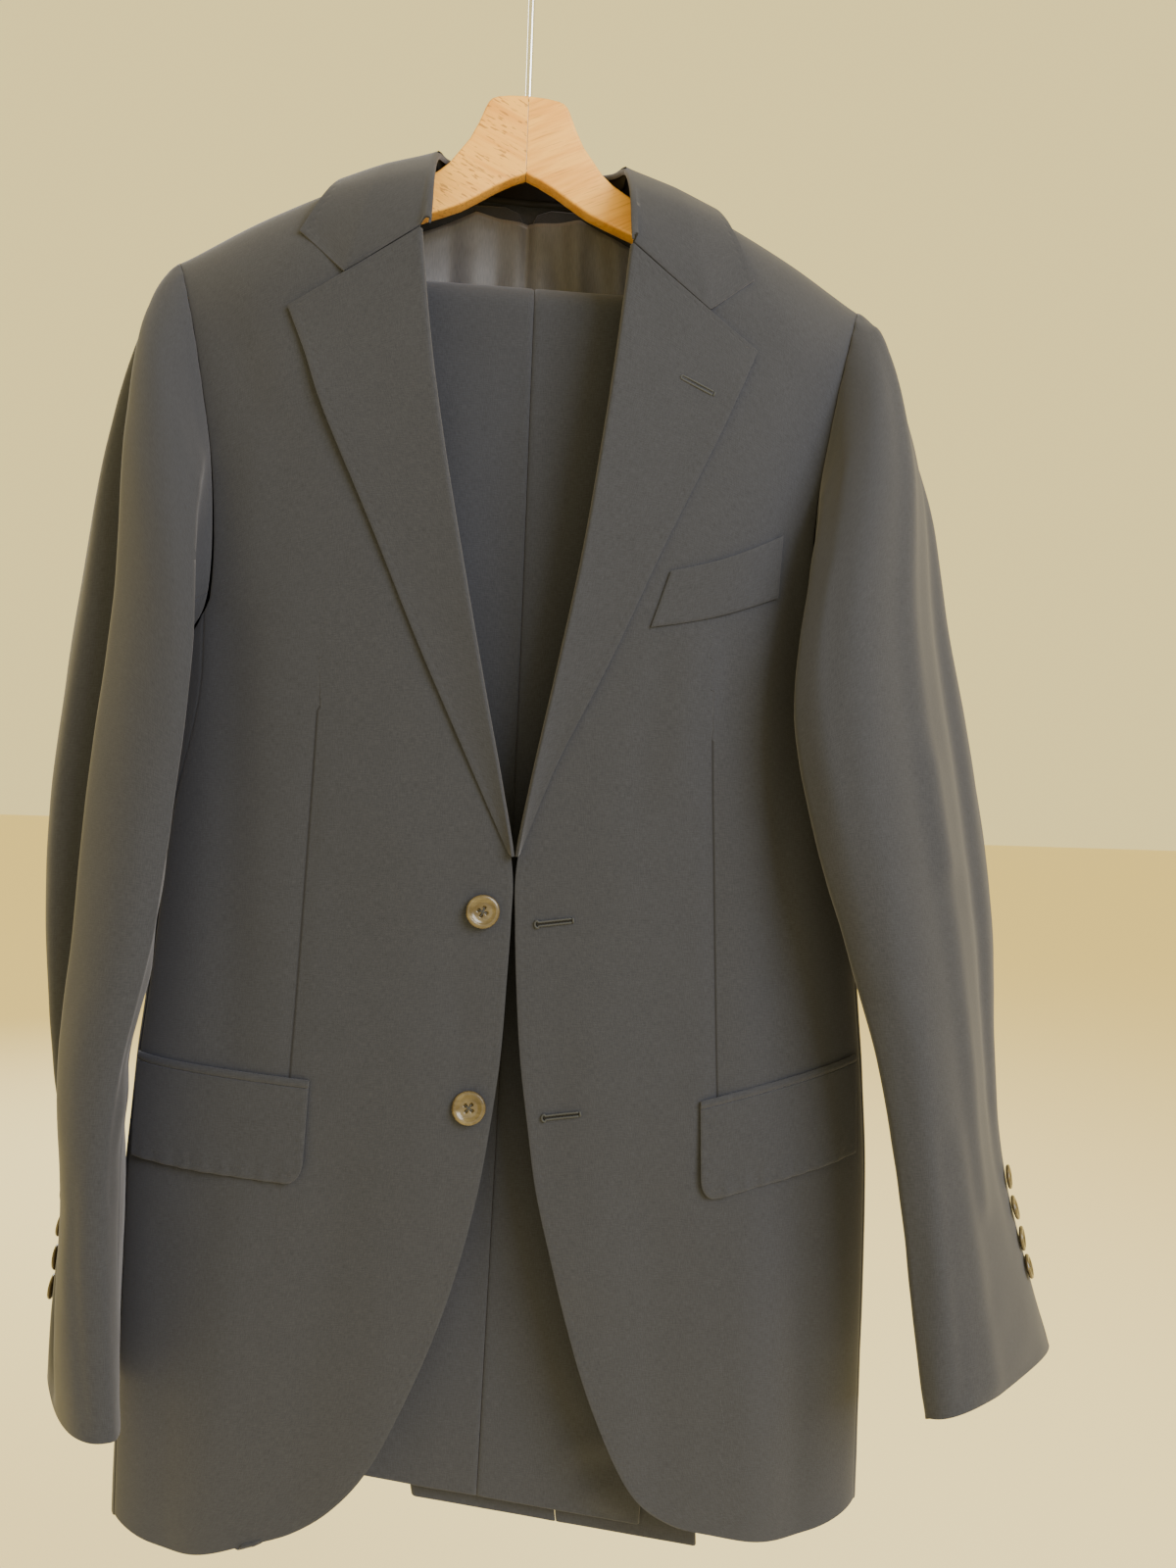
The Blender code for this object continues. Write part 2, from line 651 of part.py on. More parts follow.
# Trousers
def leg_path(run, out, drop):
    # middle of the cloth pile at a distance along the leg, moved out from the bar
    radius = BAR / 2 + out
    turn_length = math.pi * radius
    if run < drop:
        return Vector((0, -radius, BAR_Z - (drop - run))), Vector((0, -1, 0))
    if run < drop + turn_length:
        angle = (run - drop) / radius
        out_way = Vector((0, -math.cos(angle), math.sin(angle)))
        return Vector((0, 0, BAR_Z)) + out_way * radius, out_way
    return Vector((0, radius, BAR_Z - (run - drop - turn_length))), Vector((0, 1, 0))


def leg_section(turn, reach):
    # half a pressed leg, from one seam over the crease to the other: distance out, height
    flat = reach - LEG_PUFF
    if turn < 0.25:
        return SEAM / 2 + (flat - SEAM / 2) * turn * 4, LEG_PUFF
    if turn > 0.75:
        return SEAM / 2 + (flat - SEAM / 2) * (1 - turn) * 4, -LEG_PUFF
    angle = math.pi * (turn - 0.25) * 2
    return flat + LEG_PUFF * math.sin(angle), LEG_PUFF * math.cos(angle)


def trouser_leg(name, rows, out):
    # a leg is a front and a back panel, each from the side seam over its crease to the inseam
    # the inner leg turns more tightly over the bar, so its hem hangs lower
    last = LEG_LENGTH - WAISTBAND
    drop = FRONT_DROP + math.pi * (NEAR_OUT - out)
    bend = [drop + math.pi * (BAR / 2 + out) * share for share in even(6)]
    runs = [last * step / LEG_STEPS for step in range(LEG_STEPS + 1)]
    runs = sorted([run for run in runs if not bend[0] - 14 < run < bend[-1] + 14] + bend)
    for half, way in (("front", -1), ("back", 1)):
        def place(turn, run):
            left = read(LEG_COLUMNS, rows, "left", run)
            right = read(LEG_COLUMNS, rows, "right", run)
            centre, out_way = leg_path(run, out, drop)
            reach, high = leg_section(turn, (right - left) / 2)
            point = centre + out_way * high
            point.x = (left + right) / 2 + way * reach
            point.z += LEG_HEM_SLOPE * way * reach * max(1 - run / LEG_SLOPE_RUN, 0)
            return point

        cloth("trouser_%s_%s" % (name, half), 8, runs, place, None)

    def band(turn, run):
        turn = turn if turn < 0.999 else 0
        left = read(LEG_COLUMNS, rows, "left", run)
        right = read(LEG_COLUMNS, rows, "right", run)
        centre, out_way = leg_path(run, out, drop)
        half_turn = turn * 2 % 1
        way = 1 if turn < 0.5 else -1
        reach, high = leg_section(half_turn, (right - left) / 2)
        centre.x = (left + right) / 2 + way * reach
        return centre + out_way * high * way

    band_runs = (last + SEAM, last + WAISTBAND / 2, last + WAISTBAND)
    cloth("waistband_" + name, 16, band_runs, band, None, closed=True)


# Hanger
def hanger_arm(hand):
    side = -1 if hand == "left" else 1
    top = ((0.2, -98.3), (14, -98.8), (24, -103), (31, -115), (42, -136), (55, -150), (66, -156.5),
           (110, -177), (160, -198), (196, -213.6))
    end = ((203, -220), (205, -232), (203, -243), (196, -246.5))
    under = ((BAR_HALF + SEAM, -246.5), (BAR_HALF + SEAM, -229), (160, -221), (110, -199),
             (66, -180), (40, -170), (18, -155.5), (0.2, -148))
    outline = top + end + under
    curve = bpy.data.curves.new("hanger_arm_" + hand, "CURVE")
    curve.dimensions = "2D"
    curve.fill_mode = "BOTH"
    curve.extrude = WOOD / 2 * MM
    spline = curve.splines.new("POLY")
    spline.points.add(len(outline) - 1)
    for point, (x, z) in zip(spline.points, outline):
        point.co = (side * x * MM, (z - HOOK_RISE) * MM, 0, 1)
    spline.use_cyclic_u = True
    guide = bpy.data.objects.new("guide", curve)
    suit.objects.link(guide)
    mesh = bpy.data.meshes.new_from_object(guide.evaluated_get(bpy.context.evaluated_depsgraph_get()))
    bpy.data.objects.remove(guide)
    bm = bmesh.new()
    bm.from_mesh(mesh)
    bpy.data.meshes.remove(mesh)
    bmesh.ops.remove_doubles(bm, verts=bm.verts, dist=0.00001)
    bmesh.ops.recalc_face_normals(bm, faces=bm.faces)
    made = mesh_object("hanger_arm_" + hand, bm, "beech")
    made.rotation_euler = (math.pi / 2, 0, 0)
    made.location.x = HANGER_X * MM
    rounded_edge = made.modifiers.new("rounded edge", "BEVEL")
    rounded_edge.width = WOOD_ROUND * MM
    rounded_edge.segments = 2
    rounded_edge.limit_method = "ANGLE"
    rounded_edge.angle_limit = math.radians(50)


def bar():
    bpy.ops.mesh.primitive_cylinder_add(vertices=16, radius=BAR / 2 * MM, depth=2 * BAR_HALF * MM,
                                        location=placed(Vector((HANGER_X, 0, BAR_Z))),
                                        rotation=(0, math.pi / 2, 0))
    made = bpy.context.object
    made.name = "hanger_bar"
    for owner in made.users_collection:
        owner.objects.unlink(made)
    suit.objects.link(made)
    made.data.materials.append(material("beech"))


def hook():
    wire = HOOK_WIRE / 2
    radius = HOOK_INNER + wire
    centre = HOOK_RISE - HOOK_INNER
    path = [(HANGER_X, HEAD_TOP_Z + SEAM), (HANGER_X, -60), (HANGER_X, -28), (-1, -19), (5, -12)]
    for step in range(19):
        angle = math.radians(-62 + step * 260 / 18)
        path.append((radius * math.cos(angle), centre + radius * math.sin(angle)))
    curve = bpy.data.curves.new("hook", "CURVE")
    curve.dimensions = "3D"
    curve.bevel_depth = wire * MM
    curve.bevel_resolution = 2
    curve.use_fill_caps = True
    spline = curve.splines.new("POLY")
    spline.points.add(len(path) - 1)
    for point, (x, z) in zip(spline.points, path):
        point.co = (x * MM, 0, (z - HOOK_RISE) * MM, 1)
    collect("hook", curve, "chrome")


for thing in list(bpy.data.objects):
    bpy.data.objects.remove(thing)
suit = bpy.data.collections.new("suit")
bpy.context.scene.collection.children.link(suit)
for hand in ("left", "right"):
    front_panel(hand)
    side_panel(hand)
    back_panel(hand)
    lapel(hand)
    sleeve(hand)
    flap(hand)
    hanger_arm(hand)
collar()
stand()
neck_lining()
label()
breast_welt()
buttons()
trouser_leg("near", NEAR_LEG, NEAR_OUT)
trouser_leg("far", FAR_LEG, FAR_OUT)
bar()
hook()
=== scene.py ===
# Navy wool suit on a beech hanger: jacket hung open, trousers folded over the bar.
import math

import bmesh
import bpy
from mathutils import Matrix, Vector, noise


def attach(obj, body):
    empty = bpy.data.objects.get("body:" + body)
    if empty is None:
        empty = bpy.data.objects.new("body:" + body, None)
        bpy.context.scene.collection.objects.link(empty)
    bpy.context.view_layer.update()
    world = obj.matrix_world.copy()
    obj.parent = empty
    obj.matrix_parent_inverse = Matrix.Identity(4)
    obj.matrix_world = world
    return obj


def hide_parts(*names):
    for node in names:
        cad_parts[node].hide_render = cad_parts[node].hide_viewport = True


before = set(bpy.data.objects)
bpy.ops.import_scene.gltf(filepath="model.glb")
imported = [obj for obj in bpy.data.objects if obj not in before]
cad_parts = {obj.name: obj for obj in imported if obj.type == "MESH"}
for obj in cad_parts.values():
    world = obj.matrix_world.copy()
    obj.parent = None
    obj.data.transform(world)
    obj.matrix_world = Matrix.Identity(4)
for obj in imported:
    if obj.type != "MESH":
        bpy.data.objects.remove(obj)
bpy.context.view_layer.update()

mm = 0.001
hookRise = 30.0  # heights below are in mm from a level this far above the rail's contact
seam = 0.12  # how far a sewn edge stands off its seam line or runs past it
faceOut, backOut = Vector((0, -1, 0)), Vector((0, 1, 0))
sides = {"left": -1, "right": 1}


def hermite(start, end, slopeIn, slopeOut, share):
    curve = 2 * share ** 3 - 3 * share ** 2
    return (start * (curve + 1) - end * curve
            + slopeIn * (share ** 3 - 2 * share ** 2 + share)
            + slopeOut * (share ** 3 - share ** 2))


def readCurve(rows, column, at):
    # a smooth curve through one column of a table, read by its first column
    if rows[0][0] > rows[-1][0]:
        rows = rows[::-1]
    at = min(max(at, rows[0][0]), rows[-1][0])
    step = 0
    while step < len(rows) - 2 and at > rows[step + 1][0]:
        step += 1
    before, start = rows[max(step - 1, 0)], rows[step]
    end, after = rows[step + 1], rows[min(step + 2, len(rows) - 1)]
    width = end[0] - start[0]
    slopeIn = (end[column] - before[column]) / (end[0] - before[0]) * width
    slopeOut = (after[column] - start[column]) / (after[0] - start[0]) * width
    return hermite(start[column], end[column], slopeIn, slopeOut, (at - start[0]) / width)


def readPoint(rows, columns, at):
    return Vector([readCurve(rows, column, at) for column in columns])


def clamp(value):
    return min(max(value, 0.0), 1.0)


def ease(value):
    value = clamp(value)
    return value * value * (3 - 2 * value)


def bell(away):
    return math.exp(-away * away)


def arch(share):
    return math.sin(math.pi * share)


def toRow(point):
    return (point - Vector((0, 0, hookRise))) * mm


def even(count, start=0.0, end=1.0):
    return [start + (end - start) * n / count for n in range(count + 1)]


def spaced(count, wide, roll=(0.4, 1.0, 1.8, 3.0, 4.6)):
    # even steps with a few close ones at both ends, where an edge rolls over
    close = [value / wide for value in roll]
    clear = close[-1] * 1.3
    middle = [n / count for n in range(1, count) if clear < n / count < 1 - clear]
    return [0.0] + close + middle + [1 - value for value in reversed(close)] + [1.0]


def bumpy(x, z, size, seed=0.0):
    return noise.noise(Vector((x / size, z / size, seed)))


def creased(creases, x, z):
    # soft ridges and troughs: x, z of both ends, half width, height; they taper off past the ends
    total = 0.0
    for x1, z1, x2, z2, wide, high in creases:
        dx, dz = x2 - x1, z2 - z1
        along = ((x - x1) * dx + (z - z1) * dz) / (dx * dx + dz * dz)
        if -0.35 < along < 1.35:
            inside = clamp(along)
            away = math.hypot(x - x1 - dx * inside, z - z1 - dz * inside) / wide
            if away < 2.6:
                total += high * bell(away) * arch(clamp((along + 0.35) / 1.7)) ** 0.7
    return total


def tucked(away, reach=1.8, deep=0.75):
    # how far the cloth dips at a distance from a sewn or turned edge
    return -deep * max(1 - away / reach, 0) ** 2


# materials
def newMaterial(name, sockets):
    made = bpy.data.materials.new(name)
    made.use_nodes = True
    shader = made.node_tree.nodes["Principled BSDF"]
    for title, value in sockets.items():
        shader.inputs[title].default_value = value
    return made, made.node_tree, shader


def node(tree, kind, **inputs):
    # each input is a socket's title with a value or a link, or else a setting of the node
    made = tree.nodes.new(kind)
    for name, value in inputs.items():
        if name not in made.inputs:
            setattr(made, name, value)
        elif isinstance(value, bpy.types.NodeSocket):
            tree.links.new(value, made.inputs[name])
        else:
            made.inputs[name].default_value = value
    return made


def maths(tree, operation, first, second=None):
    made = node(tree, "ShaderNodeMath", operation=operation)
    for place, value in enumerate((first, second)):
        if isinstance(value, bpy.types.NodeSocket):
            tree.links.new(value, made.inputs[place])
        elif value is not None:
            made.inputs[place].default_value = value
    return made.outputs[0]


def blended(tree, first, second, share):
    # first and second added together, by share and the rest
    return maths(tree, "ADD", maths(tree, "MULTIPLY", first, share),
                 maths(tree, "MULTIPLY", second, 1 - share))


def bellOf(tree, value, width):
    square = maths(tree, "POWER", maths(tree, "DIVIDE", value, width), 2.0)
    return maths(tree, "POWER", 2.718, maths(tree, "MULTIPLY", square, -1.0))


def ramp(tree, source, stops):
    made = node(tree, "ShaderNodeValToRGB", Fac=source)
    while len(made.color_ramp.elements) < len(stops):
        made.color_ramp.elements.new(0.5)
    for element, (place, colour) in zip(made.color_ramp.elements, stops):
        element.position = place
        element.color = (*colour, 1)
    return made.outputs["Color"]


def mapped(tree, source, scale, turn=0.0):
    return node(tree, "ShaderNodeMapping", Vector=source, Scale=scale,
                Rotation=(0, turn, 0)).outputs["Vector"]


def objectPlace(tree):
    return node(tree, "ShaderNodeTexCoord").outputs["Object"]


def noiseAt(tree, vector, scale=1.0, detail=2.0, roughness=0.5, distortion=0.0):
    return node(tree, "ShaderNodeTexNoise", Vector=vector, Scale=scale, Detail=detail,
                Roughness=roughness, Distortion=distortion).outputs["Fac"]


def threadNoise(tree, across, along, scale=1.0):
    place = node(tree, "ShaderNodeUVMap", uv_map="cloth").outputs["UV"]
    return noiseAt(tree, mapped(tree, place, (across, along, 1)), scale)


def attributeOf(tree, title):
    return node(tree, "ShaderNodeAttribute", attribute_name=title).outputs["Fac"]


def bumped(tree, shader, height, strength):
    bump = node(tree, "ShaderNodeBump", Height=height, Strength=strength, Distance=1.0)
    tree.links.new(bump.outputs["Normal"], shader.inputs["Normal"])


woolLook = {
    "dark": (0.019, 0.022, 0.034),
    "light": (0.034, 0.038, 0.056),
    "threads": 1700,  # threads in a metre
    "float": 7,  # how much longer a thread's mark is than wide
    "weaveHigh": 0.00016, "cloudScale": 60.0, "weaveShare": 0.92,
    # the groove's colour is painted shade, multiplied into the cloth along a dart
    "grooveHalf": 0.0007, "grooveDeep": 0.0007, "grooveShade": (0.35, 0.35, 0.37, 1),
    "stitchStep": 0.0058,  # pick stitches along an edge
    "stitchInset": 0.005, "stitchHalf": 0.0012, "stitchDeep": 0.00022,
}


def woolMaterial(name, look):
    made, tree, shader = newMaterial(name, {
        "Roughness": 0.82, "Sheen Weight": 0.22, "Sheen Roughness": 0.55,
        "Sheen Tint": (0.78, 0.80, 1.0, 1), "Specular IOR Level": 0.25})
    threads, floats = look["threads"], look["threads"] / look["float"]
    warp, weft = threadNoise(tree, threads, floats), threadNoise(tree, floats, threads)
    weave = maths(tree, "MULTIPLY", maths(tree, "ADD", warp, weft), 0.5)
    mixed = blended(tree, weave, threadNoise(tree, 1, 1, look["cloudScale"]), look["weaveShare"])
    colour = ramp(tree, mixed, ((0.34, look["dark"]), (0.68, look["light"])))
    # a dart lies deeper, and painted shade darkens the colour along it; the distance from it is an
    # attribute of the cloth
    groove = bellOf(tree, attributeOf(tree, "seamLine"), look["grooveHalf"])
    darker = node(tree, "ShaderNodeMix", data_type="RGBA", blend_type="MULTIPLY", Factor=groove,
                  A=colour, B=look["grooveShade"])
    tree.links.new(darker.outputs["Result"], shader.inputs["Base Color"])
    # pick stitches: small dimples in a row just inside an edge
    inset = maths(tree, "SUBTRACT", attributeOf(tree, "edgeInset"), look["stitchInset"])
    turns = maths(tree, "MULTIPLY", attributeOf(tree, "edgeRun"), 2 * math.pi / look["stitchStep"])
    beat = maths(tree, "MULTIPLY", maths(tree, "ADD", maths(tree, "COSINE", turns), 1.0), 0.5)
    dimple = maths(tree, "MULTIPLY", bellOf(tree, inset, look["stitchHalf"]),
                   maths(tree, "POWER", beat, 2.0))
    deep = maths(tree, "ADD", maths(tree, "MULTIPLY", groove, look["grooveDeep"]),
                 maths(tree, "MULTIPLY", dimple, look["stitchDeep"]))
    height = maths(tree, "SUBTRACT", maths(tree, "MULTIPLY", weave, look["weaveHigh"]), deep)
    bumped(tree, shader, height, 0.7)
    return made


def satinMaterial(name, dark, light, roughness, threads, shine=0.5):
    made, tree, shader = newMaterial(name, {
        "Roughness": roughness, "Anisotropic": 0.4, "Specular IOR Level": shine,
        "Sheen Weight": 0.1 * shine})
    fine = threadNoise(tree, threads, threads / 9)
    tree.links.new(ramp(tree, fine, ((0.3, dark), (0.7, light))), shader.inputs["Base Color"])
    bumped(tree, shader, maths(tree, "MULTIPLY", fine, 0.0001), 0.4)
    return made


def plainMaterial(name, colour, roughness, metallic=0.0):
    sockets = {"Base Color": (*colour, 1), "Roughness": roughness, "Metallic": metallic}
    return newMaterial(name, sockets)[0]


hornLook = {
    "dark": (0.050, 0.036, 0.018), "mid": (0.085, 0.064, 0.032), "pale": (0.15, 0.12, 0.066),
    "grain": 40, "stretch": (1, 1, 2.4),
}


def hornMaterial(name, look):
    made, tree, shader = newMaterial(name, {
        "Roughness": 0.24, "Coat Weight": 0.35, "Coat Roughness": 0.12})
    grain = noiseAt(tree, mapped(tree, objectPlace(tree), look["stretch"]), look["grain"], 5.0,
                    0.6, 1.2)
    stops = ((0.36, look["dark"]), (0.52, look["mid"]), (0.68, look["pale"]))
    tree.links.new(ramp(tree, grain, stops), shader.inputs["Base Color"])
    return made


beechLook = {
    "pale": (0.95, 0.50, 0.10), "mid": (0.80, 0.36, 0.055), "dark": (0.36, 0.15, 0.035),
    "flecked": {"tilt": -25, "marks": (170, 900, 900), "start": 0.60, "strength": 0.75},
    "figured": {"tilt": 25, "marks": (60, 1300, 1500), "start": 0.62, "strength": 0.35},
}


def beechMaterial(name, look, figure):
    # grain runs along the arm; one arm shows flecks, the other a wavy flat-sawn figure
    made, tree, shader = newMaterial(name, {
        "Roughness": 0.42, "Coat Weight": 0.25, "Coat Roughness": 0.3})
    turned = mapped(tree, objectPlace(tree), (1, 1, 1), math.radians(figure["tilt"]))
    fine = noiseAt(tree, mapped(tree, turned, (28, 700, 700)), detail=3)
    broad = noiseAt(tree, mapped(tree, turned, (9, 60, 75)), detail=3.0, distortion=1.6)
    colour = ramp(tree, blended(tree, fine, broad, 0.35),
                  ((0.36, look["mid"]), (0.56, look["pale"])))
    speck = noiseAt(tree, mapped(tree, turned, figure["marks"]), detail=1)
    mark = ramp(tree, speck, ((figure["start"], (0, 0, 0)), (0.68, (1, 1, 1))))
    strength = maths(tree, "MULTIPLY", mark, figure["strength"])
    mixed = node(tree, "ShaderNodeMix", data_type="RGBA", blend_type="MIX", Factor=strength,
                 A=colour, B=(*look["dark"], 1))
    tree.links.new(mixed.outputs["Result"], shader.inputs["Base Color"])
    bumped(tree, shader, maths(tree, "MULTIPLY", fine, 0.0002), 0.3)
    return made


wool = woolMaterial("navy wool", woolLook)
lining = satinMaterial("lining satin", (0.072, 0.072, 0.088), (0.102, 0.102, 0.122), 0.5, 1500)
labelCloth = satinMaterial("label satin", (0.003, 0.003, 0.004), (0.007, 0.007, 0.008), 0.85,
                           2400, 0.1)
felt = plainMaterial("undercollar felt", (0.005, 0.006, 0.009), 0.95)
threadMaterial = plainMaterial("navy thread", (0.032, 0.037, 0.048), 0.7)
# the buttonhole slits' near-black colour is painted shade for the dark inside of each cut
paintedSlitShade = plainMaterial("slit shade", (0.004, 0.004, 0.006), 0.9)
horn = hornMaterial("horn", hornLook)
beechLeft = beechMaterial("beech flecked", beechLook, beechLook["flecked"])
beechRight = beechMaterial("beech figured", beechLook, beechLook["figured"])
chrome = plainMaterial("plated steel", (0.72, 0.72, 0.74), 0.13, 1.0)
print("materials ready")


# making pieces
def camel(name):
    first, *rest = name.split("_")
    return first + "".join(word.capitalize() for word in rest)


def finishPiece(name, bm, material, nodes):
    name = camel(name)
    mesh = bpy.data.meshes.new(name)
    bm.to_mesh(mesh)
    bm.free()
    mesh.materials.append(material)
    mesh.shade_smooth()
    piece = bpy.data.objects.new(name, mesh)
    bpy.context.scene.collection.objects.link(piece)
    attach(piece, "root")
    if nodes:
        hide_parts(*nodes)
    return piece


def layUv(bm, table, layer, width, height):
    # the cloth's own measures in metres, across and along
    def apart(first, second):
        return (table[first].co - table[second].co).length

    middle = width // 2
    down = [0.0]
    for row in range(1, height):
        down.append(down[-1] + apart((middle, row), (middle, row - 1)))
    sizes = {}
    bm.verts.index_update()
    for row in range(height):
        across = [0.0]
        for column in range(1, width):
            across.append(across[-1] + apart((column, row), (column - 1, row)))
        for column in range(width):
            sizes[table[column, row].index] = (across[column] - across[middle], down[row])
    for face in bm.faces:
        for loop in face.loops:
            loop[layer].uv = sizes[loop.vert.index]


def gridPiece(name, columns, rows, place, material, nodes=(), outward=None, wall=0.0,
              marks=None, round=0.0, close=False):
    # a grid of the columns and rows, each point placed in mm; marks gives its seam and edge lines
    bm = bmesh.new()
    uvLayer = bm.loops.layers.uv.new("cloth")
    layers = [bm.verts.layers.float.new(title) for title in ("seamLine", "edgeInset", "edgeRun")]
    width, height = len(columns), len(rows)
    bmesh.ops.create_grid(bm, x_segments=width - 1, y_segments=height - 1, size=0.5)
    table = {}
    for vert in bm.verts:
        column = int((vert.co.x + 0.5) * (width - 1) + 0.5)
        row = int((vert.co.y + 0.5) * (height - 1) + 0.5)
        table[column, row] = vert
    for (column, row), vert in table.items():
        vert.co = toRow(place(columns[column], rows[row]))
    layUv(bm, table, uvLayer, width, height)
    for (column, row), vert in table.items():
        found = marks(columns[column], rows[row], vert.co) if marks else (1, 1, 0)
        for layer, value in zip(layers, found):
            vert[layer] = value
    if close:
        bmesh.ops.remove_doubles(bm, verts=bm.verts, dist=0.000004)
    bm.normal_update()
    middle = sum((vert.co for vert in bm.verts), Vector()) / len(bm.verts)
    facing = sum(face.normal.dot(outward or face.calc_center_median() - middle)
                 for face in bm.faces)
    if facing < 0:
        bmesh.ops.reverse_faces(bm, faces=bm.faces)
    piece = finishPiece(name, bm, material, nodes)
    if wall:
        shell = piece.modifiers.new("wall", "SOLIDIFY")
        shell.thickness = wall * mm
        shell.offset = -1
    if round:
        bevel = piece.modifiers.new("edge", "BEVEL")
        bevel.width = round * mm
        bevel.segments = 2
        bevel.limit_method = "ANGLE"
        bevel.angle_limit = math.radians(60)
    return piece


def clothPiece(name, spec, columns, rows, place, outward, marks=None, material=wool,
               close=False):
    piece = gridPiece(name, columns, rows, place, material, [spec.get("node", name)],
                      outward, spec["wall"], marks, spec.get("round", 0.0), close)


# body of the jacket
fullness = 0.8
sideShare = 0.91
hemZ, underarmZ, seamTopZ = -978.0, -450.0, -433.0
sleeveTopZ = -217.5
roundOver = 70.0  # the shoulder rounds over within this height
lap = 0.15  # how far the fronts and backs run past the side seam
bodyRows = (  # height, half width, depth in front, depth behind, sideways swing
    (-985, 232.5, 51, 47, 5.5), (-778, 232.0, 51, 46, 5.5), (-708, 227.5, 51, 45, 5.5),
    (-658, 222.5, 50, 43, 5.5), (-608, 218.0, 50, 42, 5.5), (-528, 209.0, 52, 43, 3.0),
    (-448, 204.0, 55, 46, 0.0), (-378, 205.0, 56, 50, 0.0), (-308, 212.0, 55, 52, 0.5),
    (-219, 223.0, 50, 50, 2.0), (-100, 226.0, 50, 50, 2.0))
shoulderRows = ((0, -115), (35, -130), (70, -147), (115, -166), (164, -190), (208, -215),
                (225, -222))
armholeRows = ((-450, 204), (-446, 193), (-433, 184), (-410, 180.5), (-374, 181), (-339, 184),
               (-304, 190), (-264, 198), (-229, 208), (-218, 213))
edgeRows = (  # step, height, left edge, right edge, height of the same line at the side
    (0, -979, 140, 136, -976), (1, -972, 114, 111, -971), (2, -957, 91, 90, -962),
    (3, -932, 70, 74, -944), (4, -890, 49, 56, -900), (5, -850, 33, 43, -854),
    (6, -810, 21, 32, -812), (7, -770, 12, 22, -771), (8, -730, 6, 15.5, -731),
    (9, -690, 1.5, 9.8, -691), (10, -650, -0.5, 6.4, -650), (11, -610, -2, 4.2, -610),
    (12, -578, -1.5, 4.0, -578), (13, -528, 8, 12, -530), (14, -468, 21, 23.5, -480),
    (15, -395, 36, 37, -433), (16, -328, 49, 46.5, -378), (17, -272, 58, 53.5, -323),
    (18, -210, 65, 60, -270), (19, -146, 69, 65, -217))
lapelRows = (  # step, height of the roll, height of the outer edge, left, right
    (0, -572, -570, 1.5, 6.2), (1, -520, -516, 27, 26), (2, -455, -452, 57, 56),
    (3, -385, -386, 86, 84), (4, -310, -320, 116, 114), (5, -262, -288, 128, 127),
    (6, -208, -260, 140, 138))


def body(column, z):
    return readCurve(bodyRows, column, z)


def shoulder(x):
    return readCurve(shoulderRows, 1, abs(x))


def armhole(z):
    return readCurve(armholeRows, 1, z)


def depth(x, z, face):
    share = min(abs(x - body(4, z)) / body(1, z), 1)
    turn = math.acos(share ** (1 / fullness))
    drop = clamp((shoulder(x) - z) / roundOver)
    return body(face, z) * math.sin(turn) ** fullness * math.sqrt(1 - (1 - drop) ** 2)


def panelPoint(face, x, z, lift=0.0):
    way = -1 if face == 2 else 1
    point = Vector((x, way * max(depth(x, z, face), 0.45), z))
    if lift:
        aside = depth(x + 0.5, z, face) - depth(x - 0.5, z, face)
        point += Vector((-aside, way, 0)).normalized() * lift
    return point


def acrossPanel(xIn, zIn, xOut, zOut, share, bend):
    x = xIn + (xOut - xIn) * share
    straight = zIn + (zOut - zIn) * share
    dropIn, dropOut = shoulder(xIn) - zIn, shoulder(xOut) - zOut
    bent = shoulder(x) - (dropIn + (dropOut - dropIn) * share)
    return x, straight + (bent - straight) * bend


def frontShare(z):
    # the front panel reaches further round the side below the armhole
    return sideShare + 0.075 * ease((-465 - z) / 110)


def sideSeam(side, z, share=None):
    if z < seamTopZ:
        return body(4, z) + side * ((share or sideShare) * body(1, z) + lap)
    return side * (armhole(z) - seam / 2)



def stepsFor(z):
    # the front edge's steps for a height, by bisection
    low, high = 0.0, 19.0
    for _ in range(24):
        middle = (low + high) / 2
        if readCurve(edgeRows, 1, middle) < z:
            low = middle
        else:
            high = middle
    return low


frontRows = sorted(set([0.0, 0.04, 0.1, 0.2, 0.35] + even(110, 0.5, 18)
                       + [18.15, 18.3, 18.45, 18.6, 18.72, 18.82, 18.9, 18.95, 18.98, 19]))
leftFront = {
    "flat": (0.265, 0.86), "area": 0.139, "wall": 1.5, "round": 0.45,
    "dart": ((-115, -490), (-125, -730)),
    "creases": ((-168, -440, -162, -690, 15, -2.6), (-140, -400, -150, -600, 22, 1.2),
                (-60, -560, -45, -800, 26, 1.5), (-95, -760, -118, -985, 20, -2.2),
                (-150, -770, -168, -985, 17, 2.2), (-60, -820, -70, -985, 20, 1.6),
                (-185, -240, -150, -330, 14, -1.4), (-120, -200, -160, -250, 12, 0.9),
                (-150, -300, -162, -420, 12, 1.0), (-30, -640, -22, -700, 10, -0.8),
                (-196, -800, -190, -985, 10, -1.2)),
}
rightFront = {
    "flat": (0.265, 0.86), "area": 0.140, "wall": 1.5, "round": 0.45,
    "dart": ((119, -500), (131, -739)),
    "creases": ((170, -380, 168, -640, 13, -2.8), (150, -440, 156, -520, 9, 1.1),
                (126, -430, 128, -490, 8, -1.0), (104, -440, 100, -530, 10, 1.1),
                (84, -450, 76, -540, 10, -0.8), (142, -560, 150, -700, 16, 1.5),
                (60, -560, 52, -820, 24, 1.6), (92, -780, 106, -985, 18, -2.0),
                (150, -770, 160, -985, 18, 2.4), (186, -780, 192, -985, 12, -1.8),
                (190, -240, 158, -320, 13, -1.3), (130, -200, 170, -262, 12, 0.9),
                (36, -690, 30, -760, 9, -0.7)),
}


